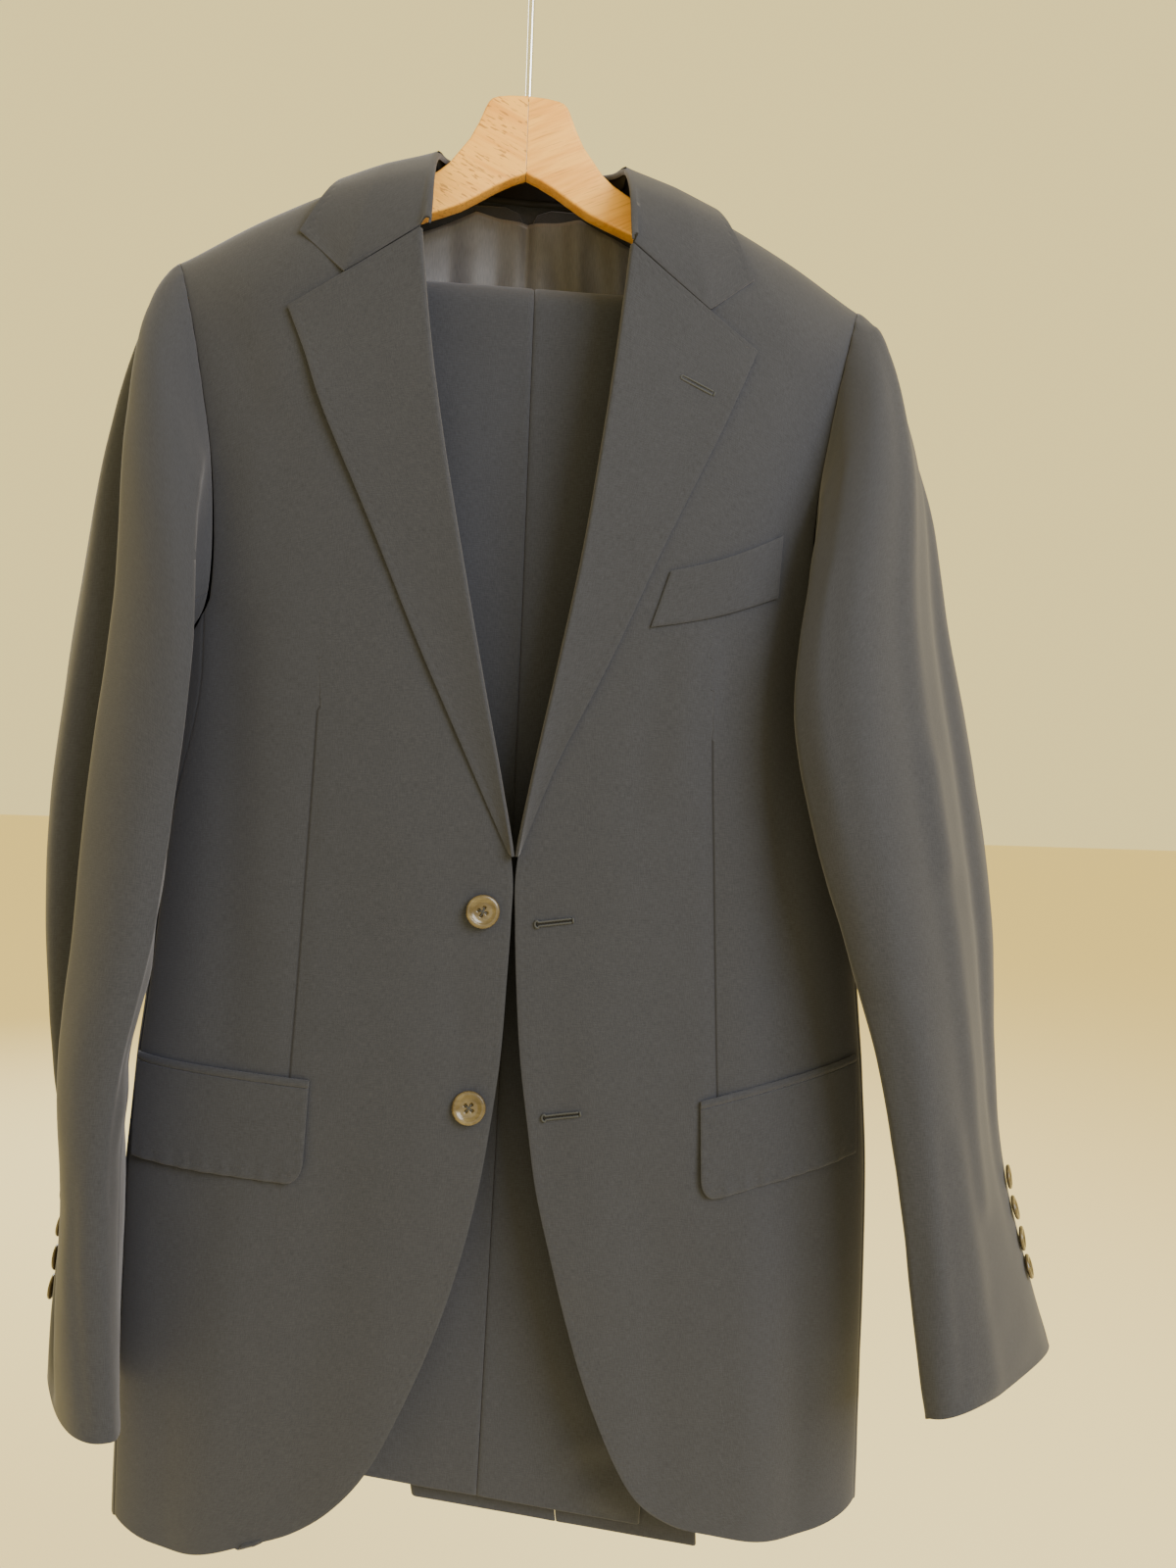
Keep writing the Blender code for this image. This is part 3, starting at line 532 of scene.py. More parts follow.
def dartDistance(line, x, z):
    # signed distance sideways to the dart, running off past its ends
    (x1, z1), (x2, z2) = line
    share = (z - z1) / (z2 - z1)
    away = x - (x1 + (x2 - x1) * share)
    past = max(z - z1, z2 - z, 0)
    return away + math.copysign(past * 0.6, away)


def frontSwell(spec, x, z):
    swell = creased(spec["creases"], x, z)
    (x1, z1), (x2, z2) = spec["dart"]
    share = clamp((z - z2) / (z1 - z2))
    if z2 < z < z1:
        away = x - (x2 + (x1 - x2) * share)
        swell -= 0.9 * bell(away / 5.0) * min(1, (1 - share) * 6 + 0.1)
    swell += 0.5 * bumpy(x, z, 60, 1) + 0.25 * bumpy(x, z, 22, 2)
    return swell


def makeFront(hand, spec):
    side = sides[hand]
    column = 2 if hand == "left" else 3

    def flatPlace(across, step):
        zIn, zOut = readCurve(edgeRows, 1, step), readCurve(edgeRows, 4, step)
        xIn = side * (readCurve(edgeRows, column, step) + seam / 2)
        xOut = sideSeam(side, zOut, frontShare(zOut))
        x, z = acrossPanel(xIn, zIn, xOut, zOut, across, clamp((step - 14) / 4))
        z -= 9 * arch(across) * max(1 - step / 4, 0)
        return x, z, abs(xOut - xIn)

    def place(across, step):
        x, z, wide = flatPlace(across, step)
        calm = min(1, (19 - step) / 1.5) * min(1, (1 - across) * wide / 10)
        lift = frontSwell(spec, x, z) * calm
        lift += tucked((1 - across) * wide, 1.8, 0.25 if step > 15.2 else 0.75)
        if step < 12:
            lift += 0.5 * bumpy(z, across * 40, 26, 5) * max(1 - across * wide / 25, 0)
            lift += tucked(across * wide, 3, 0.35)
        lift += 1.1 * bumpy(x, 0, 34, 7) * max(1 - step / 2.2, 0)
        if step > 18.8:
            lift -= 0.5 * (step - 18.8) / 0.2
        return panelPoint(2, x, z, lift)

    def marks(across, step, where):
        x, z, wide = flatPlace(across, step)
        away = dartDistance(spec["dart"], x, z)
        inset = across * wide if step < 12.2 else 99
        return away * mm, inset * mm, z * mm

    clothPiece("front_" + hand, spec, spaced(58, 200), frontRows, place, faceOut,
               marks)


for hand, spec in (("left", leftFront), ("right", rightFront)):
    makeFront(hand, spec)
print("fronts ready")

sidePanel = {
    "flat": (0.065, 0.54), "area": 0.031, "wall": 1.5, "round": 0.45, "wide": 85.0,
    "creases": ((30, -560, 62, -900, 13, -3.0), (75, -700, 84, -985, 13, 2.0),
                (48, -470, 40, -560, 10, -1.2)),
}


def makeSide(hand):
    side = sides[hand]
    seamTurn = math.acos(sideShare ** (1 / fullness))

    def place(across, step):
        top = underarmZ + (seamTopZ - underarmZ) * (2 * across - 1) ** 6 - seam
        z = hemZ + (top - hemZ) * step
        first = -math.acos(frontShare(z) ** (1 / fullness))
        turn = (first + (seamTurn - first) * across) * (1 + lap / 45)
        face = 2 if turn < 0 else 3
        wide = sidePanel["wide"]
        near = min(across, 1 - across) * wide
        lift = tucked(near)
        lift += min(1, near / 12) * (creased(sidePanel["creases"], across * wide, z)
                                     + 0.6 * bumpy(across * wide, z, 40, 11 + side))
        reach = abs(math.sin(turn)) ** fullness
        x = body(4, z) + side * (body(1, z) * math.cos(turn) ** fullness + lift * math.cos(turn))
        y = math.copysign(body(face, z) * reach, turn) + lift * math.sin(turn)
        return Vector((x, y, z))

    clothPiece("side_" + hand, sidePanel, spaced(26, 110), even(100), place,
               Vector((side, 0, 0)))


for hand in ("left", "right"):
    makeSide(hand)

backRows = ((12, 0, -578), (13, 0, -500), (14, 0, -440), (15, 0, -380), (16, 0, -310), (17, 0, -230),
            (17.6, 0, -180), (18, 6, -150), (18.5, 42, -150.5), (19, 68, -147.5))
backPanel = {
    "flat": (0.23, 0.84), "area": 0.166, "wall": 1.5, "round": 0.45,
    "creases": ((60, -250, 120, -330, 22, 2.2), (40, -300, 90, -360, 18, -1.6),
                (150, -300, 172, -430, 16, 2.4), (140, -330, 150, -520, 14, -2.0),
                (90, -440, 70, -640, 24, 1.6), (60, -700, 48, -980, 20, -2.2),
                (120, -680, 140, -980, 24, 2.6), (180, -700, 186, -980, 14, -1.8),
                (20, -560, 26, -700, 14, 1.2)),
}


def makeBack(hand):
    side = sides[hand]
    lean = 1.0 if hand == "left" else 0.86

    def flatPlace(across, step):
        zOut = readCurve(edgeRows, 4, step)
        zIn = zOut if step < 12 else readCurve(backRows, 2, step)
        neck = 0 if step < 17.6 else readCurve(backRows, 1, step)
        xIn = body(4, zIn) * clamp((-200 - zIn) / 200) + side * (neck - seam)
        xOut = sideSeam(side, zOut)
        x, z = acrossPanel(xIn, zIn, xOut, zOut, across, clamp((step - 14) / 4))
        return x, z, abs(xOut - xIn)

    def place(across, step):
        x, z, wide = flatPlace(across, step)
        near = min(across, 1 - across) * wide
        calm = min(1, (19 - step) / 1.5) * min(1, near / 12)
        lift = calm * (creased(backPanel["creases"], abs(x) * lean, z) + 0.6 * bumpy(x, z, 55, 21))
        lift += tucked(near, 1.8, 0.25 if step > 15.2 and across > 0.5 or step > 17.9 else 0.75)
        if step > 18.8:
            lift -= 0.5 * (step - 18.8) / 0.2
        return panelPoint(3, x, z, lift)

    clothPiece("back_" + hand, backPanel, spaced(56, 210), frontRows, place, backOut)


for hand in ("left", "right"):
    makeBack(hand)
print("body ready")

# lapels: a turned edge at the roll, then the leaf lying on the front
lapelPanel = {"flat": (0.095, 0.39), "area": 0.018, "wall": 1.3, "round": 0.4,
              "lift": 1.9, "lean": 4.0, "rollRise": 3.6}
lapelCurl = {  # step, half width in steps, height at the outer edge
    "left": ((4.4, 0.9, 2.6), (2.2, 1.3, 0.9)),
    "right": ((5.2, 1.0, 2.2), (1.4, 0.9, 0.8)),
}


def rollAt(hand, rollZ):
    column = 2 if hand == "left" else 3
    return readCurve(edgeRows, column, stepsFor(rollZ))


def makeLapel(hand, spec):
    side = sides[hand]
    column = 3 if hand == "left" else 4

    def spot(across, step):
        rollZ, edgeZ = readCurve(lapelRows, 1, step), readCurve(lapelRows, 2, step)
        roll = rollAt(hand, rollZ)
        out = readCurve(lapelRows, column, step)
        x = roll + (out - roll) * across
        z = rollZ + (edgeZ - rollZ) * across - side * spec["lean"] * across * (step / 6) ** 2
        return x, z, out - roll

    def place(across, step):
        if across < 0:
            x, z, wide = spot(0, step)
            top = spec["lift"] + spec["rollRise"]
            turn = -across * math.pi
            radius = (top + 1.2) / 2
            lift = top - radius * (1 - math.cos(turn))
            return panelPoint(2, side * (x - radius * 0.55 * math.sin(turn)), z, lift)
        x, z, wide = spot(across, step)
        lift = spec["lift"] + spec["rollRise"] * (1 - across) ** 2
        for centre, reach, high in lapelCurl[hand]:
            lift += high * bell((step - centre) / reach) * across ** 3
        lift += 0.45 * bumpy(x, z, 46, 31 + side) * min(1, across * 3)
        lift += tucked((1 - across) * wide, 2.2, 0.35)
        lift += 0.25 * bumpy(z, 0, 11, 34) * max(1 - (1 - across) * wide / 8, 0)
        return panelPoint(2, side * x, z, max(lift, 1.75))

    def marks(across, step, where):
        x, z, wide = spot(max(across, 0), step)
        inset = min((1 - across) * wide, (6 - step) / 6 * 320 * 1.15)
        run = where.z if inset == (1 - across) * wide else where.x
        return 1, inset * mm, run

    columns = even(5, -1, -0.1) + [0.0, 0.03, 0.07] + even(30, 0.1, 0.96) + [0.975, 0.988, 1.0]
    rows = even(130, 0, 5.9) + [5.93, 5.96, 5.98, 6.0]
    clothPiece("lapel_" + hand, spec, columns, rows, place, faceOut, marks)


for hand in ("left", "right"):
    makeLapel(hand, lapelPanel)

collarRows = (  # step, fold x, y, z, then how far out and how far below the shoulder the leaf goes
    (0, 63, -58, -204, 108, 78, 136, 39), (1, 62, -45, -172, 98, 36, 124, 20),
    (2, 60, -18, -145, 88, 0, 112, 0), (3, 53, 9, -137, 74, -20, 90, -26),
    (4, 33, 30, -131, 44, -38, 53, -48), (5, 0, 37, -128, 0, -48, 0, -68))
collarPanel = {"node": "collar", "flat": (0.50, 0.085), "area": 0.0288, "wall": 1.3, "round": 0.4,
               "lean": 5.0, "lift": 3.0, "roll": 2.9}


def overShoulder(x, drop, lift):
    face = 2 if drop > 0 else 3
    z = shoulder(x) - abs(drop)
    turn = math.acos(1 - min(abs(drop) / roundOver, 1))
    y = depth(x, z, face) + lift * math.sin(turn)
    return Vector((x, -math.copysign(y, drop), z + lift * math.cos(turn)))


def gorgePoint(side, across, rim):
    # along the lapel's top edge as far as the notch, and from there out to the leaf's rim
    topZ, tipZ, tip = lapelRows[-1][1], lapelRows[-1][2], lapelRows[-1][3 if side < 0 else 4]
    roll = rollAt("left" if side < 0 else "right", topZ)
    x = roll + (collarRows[0][4] - roll) * (min(across, 0.5) * 2)
    share = (x - roll) / (tip - roll)
    z = topZ + 0.6 - (topZ - tipZ + side * lapelPanel["lean"]) * share
    lift = lapelPanel["lift"] + lapelPanel["rollRise"] * (1 - share) ** 2
    gorge = panelPoint(2, side * x, z, lift)
    return gorge if across <= 0.5 else gorge.lerp(rim, across * 2 - 1)


def collarPlace(across, along):
    side = 1 if along > 0 else -1
    step = 5 - abs(along)
    lean = side * collarPanel["lean"] * max(1 - step / 2, 0)
    over = collarPanel["lift"] * clamp(step - 0.3)
    fold = readPoint(collarRows, (1, 2, 3), step)
    fold.x *= side
    rise = 2.0 * clamp(step)
    mid = overShoulder(side * readCurve(collarRows, 4, step), readCurve(collarRows, 5, step),
                       2.6 + rise + over)
    rim = overShoulder(side * readCurve(collarRows, 6, step), readCurve(collarRows, 7, step) + lean,
                       2.4 + rise * 0.6 + over * 0.6)
    mid = mid.lerp((fold + rim) / 2, 0.55 * clamp(step - 0.5))
    if across < 0:  # round the fold and down inside
        out = (mid - fold).normalized()
        turn = -across * math.pi * 0.9
        radius = collarPanel["roll"]
        down = Vector((0, 0, -1))
        down = (down - out * down.dot(out)).normalized()
        return fold - out * radius * math.sin(turn) + down * radius * (1 - math.cos(turn))
    share = across * 2
    point = fold.lerp(mid, share) if share <= 1 else mid.lerp(rim, share - 1)
    # round off the bend half way across
    bend = max(1 - abs(share - 1) / 0.5, 0) ** 2
    point += ((fold + rim) / 2 - mid) * bend * 0.10
    lift = 0.5 * bumpy(point.x, point.z, 40, 41) * min(1, across * 4)
    lift += 1.2 * bell((step - 0.3) / 0.8) * across ** 3
    face = Vector((0, -1, 0.35)) if step < 2 else Vector((0, 0.4, 1))
    point += face.normalized() * lift
    if step < 1.2:  # its end lies against the top of the lapel, along the gorge
        point = point.lerp(gorgePoint(side, across, rim), (1 - step / 1.2) ** 1.5)
    return point


def collarMarks(across, along, where):
    step = 5 - abs(along)
    wide = 72 if step < 2 else 52
    return 1, (1 - across) * wide * mm, where.x if step > 3 else where.z


clothPiece("collar_leaf", collarPanel,
           even(5, -1, -0.1) + [0, 0.03, 0.07] + even(24, 0.1, 0.97) + [0.985, 1.0],
           even(170, -5, 5), collarPlace, Vector((0, 0, 1)),
           collarMarks)

standFoot = ((0, 60, -12, -146), (1, 57, 10, -147), (2, 34, 33, -147), (3, 0, 40, -146))
standPanel = {"flat": (0.19, 0.02), "area": 0.0032, "wall": 1.2,
              "reach": 0.94, "narrow": 0.965, "clear": 2.2}


def standPlace(across, along, inward=0.0):
    side = 1 if along > 0 else -1
    step = 3 - abs(along)
    foot = readPoint(standFoot, (1, 2, 3), step)
    head = readPoint(collarRows, (1, 2, 3), 2 + step)
    head.y -= standPanel["clear"]
    head.x *= standPanel["narrow"]
    point = foot.lerp(head, across * standPanel["reach"])
    point.x *= side
    point.y -= inward
    return point


clothPiece("collar_stand", standPanel, even(8), even(80, -3, 3), standPlace, backOut,
           material=felt)
print("collar ready")

liningPanel = {"flat": (0.245, 0.18), "area": 0.039, "wall": 0.6,
               "half": 118.0, "foot": -330.0, "top": -150.0}
liningFolds = (  # middle x, half width, height, how it leans
    (-74, 9, 1.6, 0.06), (-52, 6, -1.3, 0.02), (-38, 8, 1.3, 0.05), (-20, 5, -0.9, 0.0),
    (-8, 5, 0.8, 0.0), (9, 6, 0.9, -0.02), (24, 7, -1.1, -0.04), (36, 6, 1.5, -0.05),
    (52, 8, -1.2, -0.06), (66, 7, 1.5, -0.1),
    (88, 10, -1.0, -0.1), (-95, 9, -1.1, 0.08))


def liningPlace(across, step):
    x = (2 * across - 1) * liningPanel["half"]
    top = min(shoulder(x) - 24, liningPanel["top"] - 6 * (1 - abs(2 * across - 1)))
    z = liningPanel["foot"] + (top - liningPanel["foot"]) * step
    lift = 0.0
    for middle, wide, high, lean in liningFolds:
        away = (x - middle - lean * (z + 230)) / wide
        lift += high * bell(away) * (0.45 + 0.55 * arch(clamp((z + 345) / 200)))
    lift -= bell(x / 3.2)
    lift += 0.35 * bumpy(x, z, 18, 51)
    lift -= 0.8 * clamp((step - 0.93) / 0.07)
    return panelPoint(3, x, z, -3.6 - lift * 1.5)


clothPiece("neck_lining", liningPanel, even(120), even(60), liningPlace, backOut,
           material=lining)

labelPanel = {"flat": (0.053, 0.0135), "wall": 0.5, "round": 0.15, "wide": 52.0}


def labelPlace(across, along):
    reach = labelPanel["wide"] / 2 / 34
    return standPlace(0.18 + 0.62 * across, along * reach, 1.8 + 0.25 * math.cos(along * 5))


clothPiece("neck_label", labelPanel, even(10), even(40, -1, 1), labelPlace, backOut,
           material=labelCloth)
print("neck ready")

# sleeves
leftSleeveRows = (  # section, height, tilt, front x, y, back x, y, fullness inside, outside
    (1, -358, 103, 184, -50, 214, 44, -9, 34), (2, -403, 74, 184, -64, 242, 45, -3, 33),
    (3, -470, 44, 182, -74, 263, 40, 3, 29), (4, -548, 12, 189, -77, 272, 32, 8, 31),
    (5, -620, 2, 196, -81, 268, 24, 11, 31), (6, -700, 0, 212, -86, 252, 14, 12, 27),
    (7, -770, 0, 216, -90, 242, 8, 13, 22), (8, -840, 0, 211, -92, 248, 10, 12, 24),
    (9, -890, 3, 206, -94, 256, 14, 12, 22))
rightSleeveRows = (
    (1, -358, 103, 178, -50, 217, 44, -12, 37), (2, -403, 74, 170, -64, 254, 42, -5, 42),
    (3, -470, 44, 163, -73, 278, 32, 5, 40), (4, -548, 16, 177, -79, 297, 20, 11, 38),
    (5, -620, 6, 199.5, -80, 308, 14, 14, 34), (6, -690, 4, 221, -84, 311, 8, 14, 28),
    (7, -760, 5, 234, -88, 318, 4, 13, 25), (8, -830, 7, 243, -91, 337, 2, 12, 25),
    (9, -884, 9, 250, -94, 356, 0, 12, 24))
sleeveFolds = {  # place round the sleeve, half width in degrees, depth, first and last section
    "left": ((1, 12, 26, 0.3, 8.9), (-44, 20, 3, 3.5, 7.0)),
    "right": ((66, 16, 7, 0.4, 4.2), (-17, 13, 5, 0.7, 7.4)),
}
sleeveCreases = {  # turn and section of both ends, half width, height
    "left": ((165, 4.6, 120, 4.9, 10, -1.6), (172, 5.2, 128, 5.3, 9, 1.5),
             (175, 5.6, 118, 5.9, 11, -1.7), (168, 6.1, 126, 6.3, 9, 1.2),
             (158, 2.6, 140, 3.6, 12, -1.4), (80, 1.2, 96, 4.2, 16, 1.6),
             (104, 3.0, 112, 6.8, 12, -1.2), (84, 5.2, 92, 8.4, 13, 1.0),
             (-60, 4.0, -100, 6.0, 18, 1.6), (-110, 4.8, -70, 5.4, 10, -1.5),
             (-30, 1.2, -40, 3.2, 16, 1.4), (60, 6.8, 70, 8.8, 10, -0.9)),
    "right": ((13, 0.6, 7, 4.4, 7, 3.2), (7, 3.8, 8, 7.2, 7, 2.9), (26, 6.6, 24, 9.0, 9, 1.6),
              (104, 1.6, 112, 4.4, 14, 1.3), (150, 2.4, 128, 3.4, 10, -1.3),
              (166, 4.4, 130, 4.7, 9, -1.4), (170, 5.1, 124, 5.2, 9, 1.2),
              (168, 5.7, 126, 5.9, 9, -1.2), (70, 4.4, 82, 7.8, 16, -1.6),
              (96, 5.6, 104, 8.6, 12, 1.2), (-50, 3.4, -80, 5.8, 18, 1.6),
              (-110, 4.7, -66, 5.3, 10, -1.5), (0, 1.0, -14, 3.4, 15, -1.2),
              (46, 6.6, 52, 8.8, 10, -1.0)),
}


def foldDepth(fold, turn, section):
    at, spread, deep, start, end = fold
    away = abs((turn - at + 180) % 360 - 180) / spread
    run = (section - start) / (end - start)
    if away > 2 or not 0 < run < 1:
        return 0.0
    return deep * math.exp(-2 * away ** 2) * arch(run) ** 0.5


def sleevePoint(hand, turn, step):
    side = sides[hand]
    rows = leftSleeveRows if hand == "left" else rightSleeveRows
    angle = math.radians(turn)
    out, ahead = math.cos(angle), math.sin(angle)

    def ring(number):
        if number == 0:
            z = (sleeveTopZ + underarmZ) / 2 + (sleeveTopZ - underarmZ) / 2 * out
            point = panelPoint(2 if ahead > 0 else 3, side * armhole(z), z, 2.8 * max(-out, 0))
            return Vector((side * point.x - 0.2, point.y, z - 0.2 * out))
        _, height, tilt, frontX, frontY, backX, backY, inside, outside = rows[number - 1]
        front, back = Vector((frontX, frontY, 0)), Vector((backX, backY, 0))
        along = (front - back) / 2
        outward = Vector((-along.y, along.x, 0)).normalized()
        full = outside if out > 0 else inside
        for fold in sleeveFolds[hand]:
            full -= foldDepth(fold, turn, number)
        point = (front + back) / 2
        point += along * math.copysign(abs(ahead) ** fullness, ahead)
        point += outward * full * math.copysign(abs(out) ** fullness, out)
        point.z = height + tilt * out
        return point

    number = min(int(step), len(rows) - 1)
    share = step - number
    points = [ring(min(max(number + n, 0), len(rows))) for n in (-1, 0, 1, 2)]
    point = hermite(points[1], points[2], (points[2] - points[0]) / 2,
                    (points[3] - points[1]) / 2, share)
    point.x *= side
    return point


def sleeveOutward(hand, turn, step):
    ahead = sleevePoint(hand, turn + 2, step) - sleevePoint(hand, turn - 2, step)
    down = (sleevePoint(hand, turn, min(step + 0.04, 9))
            - sleevePoint(hand, turn, max(step - 0.04, 0)))
    away = ahead.cross(down).normalized()
    # outwards on both arms
    return -away if hand == "left" else away


degreeWide, sectionRun = 1.25, 55  # about how many mm a degree and a section are
sleeveSpecs = {  # from and to are turns round the arm, 0 at its outer line and 90 at its front
    "topsleeve_": {"flat": (0.215, 0.62), "area": {"left": 0.090, "right": 0.104},
                   "from": -48.0, "to": 140.0, "count": 66, "wall": 1.3, "round": 0.4},
    "undersleeve_": {"flat": (0.175, 0.61), "area": {"left": 0.071, "right": 0.086},
                     "from": 140.0, "to": 312.0, "count": 48, "wall": 1.3, "round": 0.4},
}
sleeveSteps = sorted(set([0.0, 0.02, 0.05, 0.1, 0.17] + even(118, 0.25, 8.9)
                         + [8.93, 8.96, 8.98, 9.0]))


def makeSleeve(hand, kind, spec):
    side = sides[hand]
    start, end = spec["from"], spec["to"]
    wide = (end - start) * degreeWide
    creases = [(turn1, at1 * sectionRun, turn2, at2 * sectionRun, broad, high)
               for turn1, at1, turn2, at2, broad, high in sleeveCreases[hand]]

    def place(across, step):
        first, last = sleevePoint(hand, start, step), sleevePoint(hand, end, step)
        low = -seam / (sleevePoint(hand, start + 1, step) - first).length
        high = -seam / (last - sleevePoint(hand, end - 1, step)).length
        turn = start + low + (end - start - low - high) * across
        point = sleevePoint(hand, turn, step)
        lift = tucked(min(across, 1 - across) * wide, 1.8, 0.6)
        run = step * sectionRun
        folded = creased(creases, (turn + 100) % 360 - 100, run)
        folded += 0.55 * bumpy(turn, run, 48, 61 + side) + 0.3 * bumpy(turn, run, 18, 63)
        near = min(across, 1 - across) * wide
        calm = min(1, step / 0.5) * min(1, (9.15 - step) / 0.35) * min(1, near / 8 + 0.25)
        lift += folded * calm
        # the sleeve head stands a little proud just off the armhole, with light ease puckers
        if step < 0.9:
            top = max(math.cos(math.radians(turn)), 0)
            lift += 2.0 * arch(clamp(step / 0.9) ** 0.7) * top
            pucker = math.sin(turn * 0.55 + 1.3 * bumpy(turn, 0, 14, 66))
            lift += 0.35 * pucker * bell(step / 0.22) * top
        if step < 0.06:
            lift -= 0.3 * (1 - step / 0.06)
        return point + sleeveOutward(hand, turn, step) * lift

    outward = Vector((side if kind == "topsleeve_" else -side, 0, 0))
    clothPiece(kind + hand, {**spec, "area": spec["area"][hand]}, spaced(spec["count"], wide),
               sleeveSteps, place, outward)


for hand in ("left", "right"):
    for kind, spec in sleeveSpecs.items():
        makeSleeve(hand, kind, spec)
print("sleeves ready")

# pockets
flapPanel = {"flat": (0.106, 0.06), "area": 0.0058, "wall": 1.4, "round": 0.45,
             "wide": 104.0, "deep": 56.0, "corner": 14.0}
jettingPanel = {"flat": (0.104, 0.011), "area": 0.00062, "wall": 1.2, "round": 0.3}
flapPlaces = {"left": (112, -711, 216, -702), "right": (119, -721, 222, -697)}


def makeFlap(hand):
    side = sides[hand]
    xIn, zIn, xOut, zOut = flapPlaces[hand]

    def spot(across, down):
        drop = flapPanel["deep"] * down
        straight = flapPanel["deep"] - flapPanel["corner"]
        short = clamp(max(drop - straight, 0) / flapPanel["corner"])
        start = xIn + 2 * down + flapPanel["corner"] * (1 - math.sqrt(1 - short ** 2)) * 0.7
        x = start + (xOut - start) * across
        return x, zIn + (zOut - zIn) * (x - xIn) / (xOut - xIn) - drop

    def insetAt(across, down):
        return min(across * flapPanel["wide"], (1 - down) * flapPanel["deep"])

    def place(across, down):
        x, z = spot(across, down)
        lift = 2.2 + 1.3 * down
        lift += 1.0 * down * down * bumpy(x * side, z, 24, 71)  # the lower edge stands off unevenly
        lift += 0.35 * math.sin(x * 0.52 + 2 * bumpy(x, 0, 20, 73)) * clamp((down - 0.7) / 0.3)
        lift += tucked(insetAt(across, down), 2.0, 0.4)
        return panelPoint(2, side * x, z, max(lift, 1.8))

    def marks(across, down, where):
        inset = insetAt(across, down)
        run = where.x if inset == (1 - down) * flapPanel["deep"] else where.z
        return 1, inset * mm, run

    clothPiece("flap_" + hand, flapPanel, even(70), even(34, 0, 0.94) + [0.96, 0.975, 0.99, 1.0],
               place, faceOut, marks)

    def strip(across, up):
        x = xIn + (xOut - xIn) * across
        z = zIn + (zOut - zIn) * across + 0.2 + 5 * up
        return panelPoint(2, side * x, z, 1.5 + 1.1 * arch(clamp(0.12 + up * 0.8)))

    clothPiece("flap_welt_" + hand, jettingPanel, even(40), even(8), strip, faceOut)


for hand in ("left", "right"):
    makeFlap(hand)

weltPanel = {"flat": (0.085, 0.036), "area": 0.0027, "wall": 1.3, "round": 0.4}
weltCorners = ((78, -434), (157, -411), (159, -373), (89, -400))


def weltPlace(across, up):
    lowIn, lowOut, highOut, highIn = [Vector(corner) for corner in weltCorners]
    spot = lowIn.lerp(lowOut, across).lerp(highIn.lerp(highOut, across), up)
    spot.y -= 3 * arch(across)
    lift = 1.9 + 0.9 * up * arch(across) + 0.3 * bumpy(spot.x, spot.y, 20, 75)
    lift += tucked(min(across * 82, (1 - across) * 82, up * 35, (1 - up) * 35), 1.8, 0.5)
    return panelPoint(2, spot.x, spot.y, lift)


clothPiece("breast_welt", weltPanel, spaced(40, 82), spaced(16, 35), weltPlace, faceOut)
print("pockets ready")

# trousers, folded over the bar
legLook = {
    "puff": 3.0, "length": 1050.0, "band": 40.0, "frontDrop": 731.0, "bar": 5.5, "barZ": -237.0,
    "near": {"out": 10.4, "rows": ((0, -108, 96), (250, -108, 106), (450, -115, 120),
                                   (740, -138, 146), (850, -148, 158), (930, -128, 150),
                                   (1050, -108, 136))},
    "far": {"out": 3.6, "rows": ((0, -46, 134), (250, -90, 118), (450, -112, 124),
                                 (740, -136, 148), (850, -146, 160), (930, -126, 152),
                                 (1050, -106, 138))},
    "creases": ((-40, -300, -52, -560, 15, 1.2), (28, -330, 40, -640, 13, -1.4),
                (66, -700, 78, -960, 12, 1.4), (50, -940, 84, -930, 5, 1.8),
                (58, -956, 92, -950, 5, -1.8), (64, -968, 84, -978, 5, 1.5),
                (34, -900, 60, -946, 8, -1.2), (-24, -760, -34, -960, 14, 1.0),
                (74, -420, 90, -700, 12, 1.2)),
}
legPanel = {"flat": (0.255, 1.01), "area": 0.245, "wall": 1.1, "round": 0.3}
bandPanel = {"flat": (0.52, 0.04), "wall": 1.2, "round": 0.3}


def legPath(run, out, drop):
    radius = legLook["bar"] + out
    turnLength = math.pi * radius
    barZ = legLook["barZ"]
    if run < drop:
        return Vector((0, -radius, barZ - (drop - run))), Vector((0, -1, 0))
    if run < drop + turnLength:
        angle = (run - drop) / radius
        outWay = Vector((0, -math.cos(angle), math.sin(angle)))
        return Vector((0, 0, barZ)) + outWay * radius, outWay
    return Vector((0, radius, barZ - (run - drop - turnLength))), Vector((0, 1, 0))


def legSection(turn, reach):
    puff = legLook["puff"]
    flat = reach - puff
    if turn < 0.25:
        return 0.02 + flat * turn * 4, puff
    if turn > 0.75:
        return 0.02 + flat * (1 - turn) * 4, -puff
    angle = math.pi * (turn - 0.25) * 2
    return flat + puff * math.sin(angle), puff * math.cos(angle)


